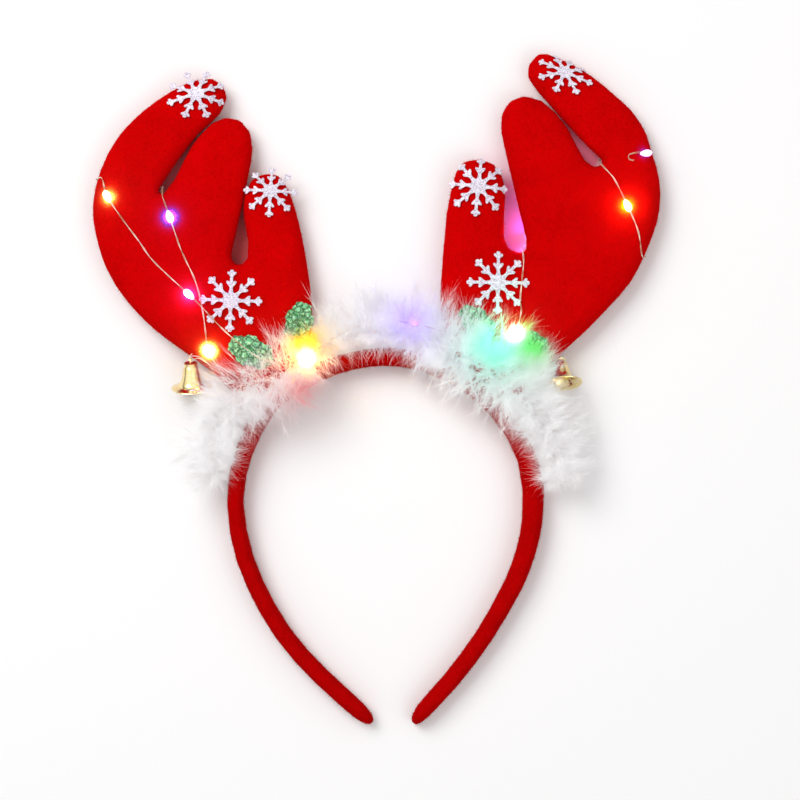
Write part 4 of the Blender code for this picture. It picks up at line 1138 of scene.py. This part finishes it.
# Marabou trim: downy plumes tied round a cord
trim = {
    # the cord, and how far the down reaches from it: away from the head, and towards it
    "route": [
        {"x": -72.5, "y": -40.0, "z": 7.5, "out": 14.0, "in": 4.5},
        {"x": -71.5, "y": -23.0, "z": 8.5, "out": 18.0, "in": 6.0},
        {"x": -67.6, "y": -8.6, "z": 12.0, "out": 20.0, "in": 17.0},
        {"x": -58.5, "y": 2.2, "z": 17.4, "out": 18.0, "in": 24.0},
        {"x": -45.5, "y": 7.6, "z": 17.8, "out": 15.0, "in": 26.0},
        {"x": -34.0, "y": 12.0, "z": 17.2, "out": 15.0, "in": 15.0},
        {"x": -24.6, "y": 18.6, "z": 12.8, "out": 20.0, "in": 6.0},
        {"x": -12.0, "y": 23.2, "z": 9.6, "out": 24.0, "in": 4.0},
        {"x": 4.0, "y": 25.4, "z": 8.6, "out": 25.0, "in": 6.0},
        {"x": 19.0, "y": 23.6, "z": 9.6, "out": 24.0, "in": 12.0},
        {"x": 30.6, "y": 18.6, "z": 13.4, "out": 27.0, "in": 18.0},
        {"x": 41.0, "y": 12.8, "z": 17.4, "out": 25.0, "in": 22.0},
        {"x": 53.0, "y": 6.4, "z": 17.8, "out": 25.0, "in": 22.0},
        {"x": 65.0, "y": -2.2, "z": 17.0, "out": 25.0, "in": 18.0},
        {"x": 73.4, "y": -12.4, "z": 12.2, "out": 22.0, "in": 9.0},
        {"x": 80.0, "y": -25.0, "z": 8.6, "out": 18.0, "in": 5.0},
        {"x": 83.4, "y": -40.6, "z": 7.5, "out": 13.0, "in": 4.0},
    ],
    "plumes": 1240,
    "barbs": 42,
    "barbSteps": 3,
    "barbLong": 10.5,
    "radius": 0.06,
    "pieces": 4,
    # how far barbs stay off other things, and how deep inside one they are moved or left out
    "clear": 0.35,
    "overTable": 0.25,
    "deepest": 9.0,
    "buried": 3.0,
    # where plumes leave the cord, in degrees round it, and the share of them that do: 0 points
    # away from the head, 90 up and 180 towards the head
    "sectors": [(-8, 60, 0.38), (45, 125, 0.27), (115, 186, 0.35)],
    "upReach": 15.0,
}
# tufts that lie over the leaves and bells: where they start, where they point and how far
tufts = [
    {"x": 58.0, "y": 10.0, "z": 22.0, "heading": 62.0, "rise": 18.0, "long": 20.0, "plumes": 34},
    {"x": 66.0, "y": 4.0, "z": 21.0, "heading": 58.0, "rise": 14.0, "long": 17.0, "plumes": 30},
    {"x": 46.0, "y": 14.0, "z": 21.0, "heading": 96.0, "rise": 16.0, "long": 16.0, "plumes": 22},
    {"x": 71.0, "y": -3.0, "z": 17.0, "heading": 12.0, "rise": 12.0, "long": 9.0, "plumes": 8},
]
# what the down parts around, and the share of it that stays there
partings = [
    {"x": -57.0, "y": 18.6, "r": 9.0}, {"x": -34.6, "y": 32.0, "r": 8.5}, {"x": -75.0, "y": 18.0, "r": 6.0},
    {"x": -86.0, "y": 5.0, "r": 7.5}, {"x": 86.5, "y": 4.5, "r": 8.0}, {"x": -31.6, "y": 14.2, "r": 2.5},
    {"x": -64.0, "y": 5.5, "r": 8.0, "keep": 0.35}, {"x": -51.0, "y": 4.5, "r": 7.0, "keep": 0.35},
    {"x": -42.0, "y": 13.0, "r": 7.5, "keep": 0.25}, {"x": -20.0, "y": 12.0, "r": 8.0, "keep": 0.16},
    {"x": -9.0, "y": 14.0, "r": 7.0, "keep": 0.2}, {"x": 2.0, "y": 15.0, "r": 6.5, "keep": 0.25},
    {"x": 12.0, "y": 14.0, "r": 6.5, "keep": 0.35}, {"x": 54.7, "y": 48.2, "r": 12.0},
    {"x": -65.4, "y": 42.0, "r": 13.0},
]


def trimAt(share):
    # place on the cord, its direction and the down's reach, at a share of its length
    rows = trim["route"]
    place = share * (len(rows) - 1)
    i = min(int(place), len(rows) - 2)
    t = place - i
    ease = t * t * (3 - 2 * t)
    a, b = rows[i], rows[i + 1]
    before, after = rows[max(i - 1, 0)], rows[min(i + 2, len(rows) - 1)]
    point = np.array([a[k] * (1 - t) + b[k] * t for k in "xyz"])
    slopeA = np.array([b[k] - before[k] for k in "xyz"])
    slopeB = np.array([after[k] - a[k] for k in "xyz"])
    ahead = slopeA * (1 - ease) + slopeB * ease
    ahead /= np.linalg.norm(ahead)
    reach = [a[k] * (1 - t) + b[k] * t for k in ("out", "in")]
    return point, ahead, reach


def plumeBarbs(rng, share):
    # a plume that leaves the cord at a share of its length
    point, ahead, (outReach, inReach) = trimAt(share)
    outward = np.array([-ahead[1], ahead[0], 0.0])
    outward /= np.linalg.norm(outward)
    angles = [rng.uniform(low, high) for low, high, _ in trim["sectors"]]
    angle = math.radians(rng.choice(angles, p=[part for _, _, part in trim["sectors"]]))
    reach = outReach * max(math.cos(angle), 0) ** 2 + inReach * max(-math.cos(angle), 0) ** 2
    reach += trim["upReach"] * math.sin(angle) ** 2
    long = reach * rng.uniform(0.45, 1.0)
    way = outward * math.cos(angle) + np.array([0, 0, 1.0]) * math.sin(angle)
    return barbsOn(rng, point, way + ahead * rng.normal(0, 0.42), long)


def tuftBarbs(rng, row):
    # the plumes of one tuft
    heading, rise = math.radians(row["heading"]), math.radians(row["rise"])
    way = np.array([math.cos(heading), math.sin(heading), math.tan(rise)])
    point = np.array([row["x"], row["y"], row["z"]])
    barbs = []
    for _ in range(row["plumes"]):
        start, leave = point + rng.normal(0, 2.0, 3), way + rng.normal(0, 0.22, 3)
        barbs.append(barbsOn(rng, start, leave, row["long"] * rng.uniform(0.5, 1)))
    return barbs


def barbsOn(rng, point, way, long):
    # one plume: a curved quill with barbs that leave it on both sides and curl on
    way = way / np.linalg.norm(way)
    bow = np.cross(way, rng.normal(0, 1, 3))
    bow /= np.linalg.norm(bow)
    bend = bow * rng.uniform(0.05, 0.3) * long
    count = trim["barbs"]
    along = np.sort(rng.uniform(0.05, 1.0, count))[:, None]
    quill = point + rng.normal(0, 1.9, 3) + way * along * long + bend * along**2
    quill[:, 2:3] -= 0.1 * long * along**2
    run = way + 2 * bend / long * along
    run /= np.linalg.norm(run, axis=1, keepdims=True)
    side = np.cross(run, bow)
    side /= np.linalg.norm(side, axis=1, keepdims=True)
    hand = rng.choice([-1.0, 1.0], (count, 1))
    leave = run + side * hand * rng.uniform(0.15, 0.65, (count, 1)) + rng.normal(0, 0.17, (count, 3))
    leave /= np.linalg.norm(leave, axis=1, keepdims=True)
    size = trim["barbLong"] * rng.uniform(0.5, 1.25, (count, 1)) * (1.1 - 0.45 * along)
    curl = rng.normal(0, 0.2, (count, 3)) + run * 0.25
    steps = np.linspace(0, 1, trim["barbSteps"])[None, :, None]
    return quill[:, None] + (leave * size)[:, None] * steps + (curl * size)[:, None] * steps**2


def keepClear(paths, tree):
    # barbs lie on the velvet, leaves and table instead of running through them
    flat = paths.reshape(-1, 3)
    steps = paths.shape[1]
    clear = trim["clear"] * mm
    keep = np.ones(len(paths), bool)
    for index in range(len(flat)):
        place = Vector(flat[index])
        nearest, normal, _, distance = tree.find_nearest(place, trim["deepest"] * mm)
        if nearest is None:
            continue
        inside = (place - nearest).dot(normal) < 0
        if inside or distance < clear:
            if inside and distance > trim["buried"] * mm:
                keep[index // steps] = False
            flat[index] = nearest + normal * clear
    flat[:, 2] = np.maximum(flat[:, 2], trim["overTable"] * mm)
    return flat.reshape(paths.shape)[keep]


def thinOut(paths, rng):
    # down is parted where something stands out of it
    middle = paths[:, paths.shape[1] // 2]
    keep = np.ones(len(paths), bool)
    for parting in partings:
        away = np.hypot(middle[:, 0] - parting["x"] * mm, middle[:, 1] - parting["y"] * mm)
        keep &= (away > parting["r"] * mm) | (rng.random(len(paths)) < parting.get("keep", 0.07))
    return paths[keep]


def makeTrim():
    rng = np.random.default_rng(5)
    solid = treeOf([*antlerSkins, bandSkin, *bladeSkins, *bellBodies])
    for piece in range(trim["pieces"]):
        count = trim["plumes"] // trim["pieces"]
        shares = (piece + (np.arange(count) + rng.random(count)) / count) / trim["pieces"]
        plumes = [plumeBarbs(rng, share) for share in shares]
        if piece == trim["pieces"] - 1:
            for row in tufts:
                plumes += tuftBarbs(rng, row)
        barbs = np.concatenate(plumes) * mm
        barbs = keepClear(thinOut(barbs, rng), solid)
        steps = trim["barbSteps"] - 1
        taper = np.linspace(1.0, 0.55, steps)[None]
        radii = trim["radius"] * mm * taper * rng.uniform(0.7, 1.3, (len(barbs), 1))
        name = f"feather_trim_{piece + 1}"
        down = makeStrands(name, barbs, radii)
        nodes = ["feather_trim"] if piece == 0 else []
        settle(down, name, marabou, "feather", *nodes)


makeTrim()
print("marabou trim made")


# Studio: white table, white surroundings and a soft light from the upper left
studio = {
    "tableSize": 3.0,
    "table": "#F7F6F6",
    "sky": 0.66,
    "low": 0.15,
    "horizon": 0.05,
    "overhead": 0.55,
    "behind": (1.6, 1.6, 1.6, 1),
    "inMirrors": 0.55,
    "key": 15.5,
    "keySize": 0.9,
    "keyPlace": (-0.75, 0.75, 1.25),
    "fill": 3.0,
    "fillPlace": (0.9, -0.6, 1.1),
}


# painted light on the table in the slits, the velvet's red that falls there: round a place as far as reach,
# and less past it. Lengths along the slits count less
paintedSlitLight = [
    {"x": -60.8, "y": 70.0, "reach": 8.0, "fade": 3.0, "paintedTint": "#E8666A"},
    {"x": -90.0, "y": 103.0, "reach": 9.0, "fade": 3.0, "paintedTint": "#F47880"},
    {"x": 61.5, "y": 79.0, "reach": 8.0, "fade": 4.5, "paintedTint": "#FFA2C8"},
    {"x": 92.0, "y": 113.0, "reach": 9.0, "fade": 3.0, "paintedTint": "#FF88A4"},
]
alongSlits = 0.55


def makeTable():
    deselectAll()
    bpy.ops.mesh.primitive_plane_add(size=studio["tableSize"], location=(0, 0, -0.1 * mm))
    table = bpy.context.object
    table.name = "table"
    material, tree, shader = newMaterial("white laminate", {"Roughness": 0.6, "Specular IOR Level": 0.1})
    place = addNode(tree, "ShaderNodeTexCoord")
    level = addNode(
        tree, "ShaderNodeVectorMath", {1: (1, alongSlits, 0)}, {0: place.outputs["Object"]},
        operation="MULTIPLY",
    )
    # the reddish light in the slits, painted into the table's colour
    paintedTint = None
    for row in paintedSlitLight:
        middle = Vector((row["x"], row["y"] * alongSlits, 0)) * mm
        _, full = addFall(tree, level, middle, row)
        paintedTint = addTint(tree, fromHex(row["paintedTint"])[:3], full, paintedTint)
    colour = addNode(
        tree, "ShaderNodeVectorMath", {1: fromHex(studio["table"])[:3]}, {0: paintedTint.outputs["Vector"]},
        operation="MULTIPLY",
    )
    tree.links.new(colour.outputs["Vector"], shader.inputs["Base Color"])
    table.data.materials.append(material)


def makeSoftbox(name, place, size, watts):
    bpy.ops.object.light_add(type="AREA", location=place)
    box = bpy.context.object
    box.name = name
    box.data.size = size
    box.data.energy = watts
    box.rotation_euler = (-Vector(place)).to_track_quat("-Z", "Y").to_euler()


def makeSurroundings():
    # pale overhead and darker towards the horizon, which the brass shows as dark bands
    world = bpy.data.worlds.new("studio")
    bpy.context.scene.world = world
    world.use_nodes = True
    tree = world.node_tree
    background = tree.nodes["Background"]
    place = addNode(tree, "ShaderNodeTexCoord")
    split = addNode(tree, "ShaderNodeSeparateXYZ", links={"Vector": place.outputs["Generated"]})
    level = addNode(tree, "ShaderNodeValToRGB", links={"Fac": split.outputs["Z"]})
    elements = level.color_ramp.elements
    elements[0].position, elements[1].position = studio["horizon"], studio["overhead"]
    elements[0].color = (studio["low"], studio["low"], studio["low"], 1)
    elements[1].color = (1, 1, 1, 1)
    path = addNode(tree, "ShaderNodeLightPath")
    mix = addNode(tree, "ShaderNodeMix", links={0: path.outputs["Is Camera Ray"]}, data_type="RGBA")
    tree.links.new(level.outputs["Color"], mix.inputs[6])
    mix.inputs[7].default_value = studio["behind"]
    tree.links.new(mix.outputs[2], background.inputs["Color"])
    # a mirror shows more of it, as windows would
    bright = addNode(
        tree, "ShaderNodeMath", {1: studio["inMirrors"], 2: studio["sky"]},
        {0: path.outputs["Is Glossy Ray"]}, operation="MULTIPLY_ADD",
    )
    tree.links.new(bright.outputs[0], background.inputs["Strength"])


def makeHalo():
    # the camera's own bloom round the lit drops
    scene = bpy.context.scene
    scene.use_nodes = True
    tree = scene.node_tree
    tree.nodes.clear()
    layers = tree.nodes.new("CompositorNodeRLayers")
    halo = addNode(
        tree, "CompositorNodeGlare", {"Threshold": 4.0, "Strength": 0.16, "Size": 0.12, "Saturation": 1.0},
        {"Image": layers.outputs["Image"]}, glare_type="BLOOM",
    )
    addNode(tree, "CompositorNodeComposite", links={"Image": halo.outputs["Image"]})


makeTable()
makeSoftbox("key softbox", studio["keyPlace"], studio["keySize"], studio["key"])
makeSoftbox("fill softbox", studio["fillPlace"], studio["keySize"], studio["fill"])
makeSurroundings()
makeHalo()
bpy.context.scene.view_settings.view_transform = "Standard"
print("studio made")
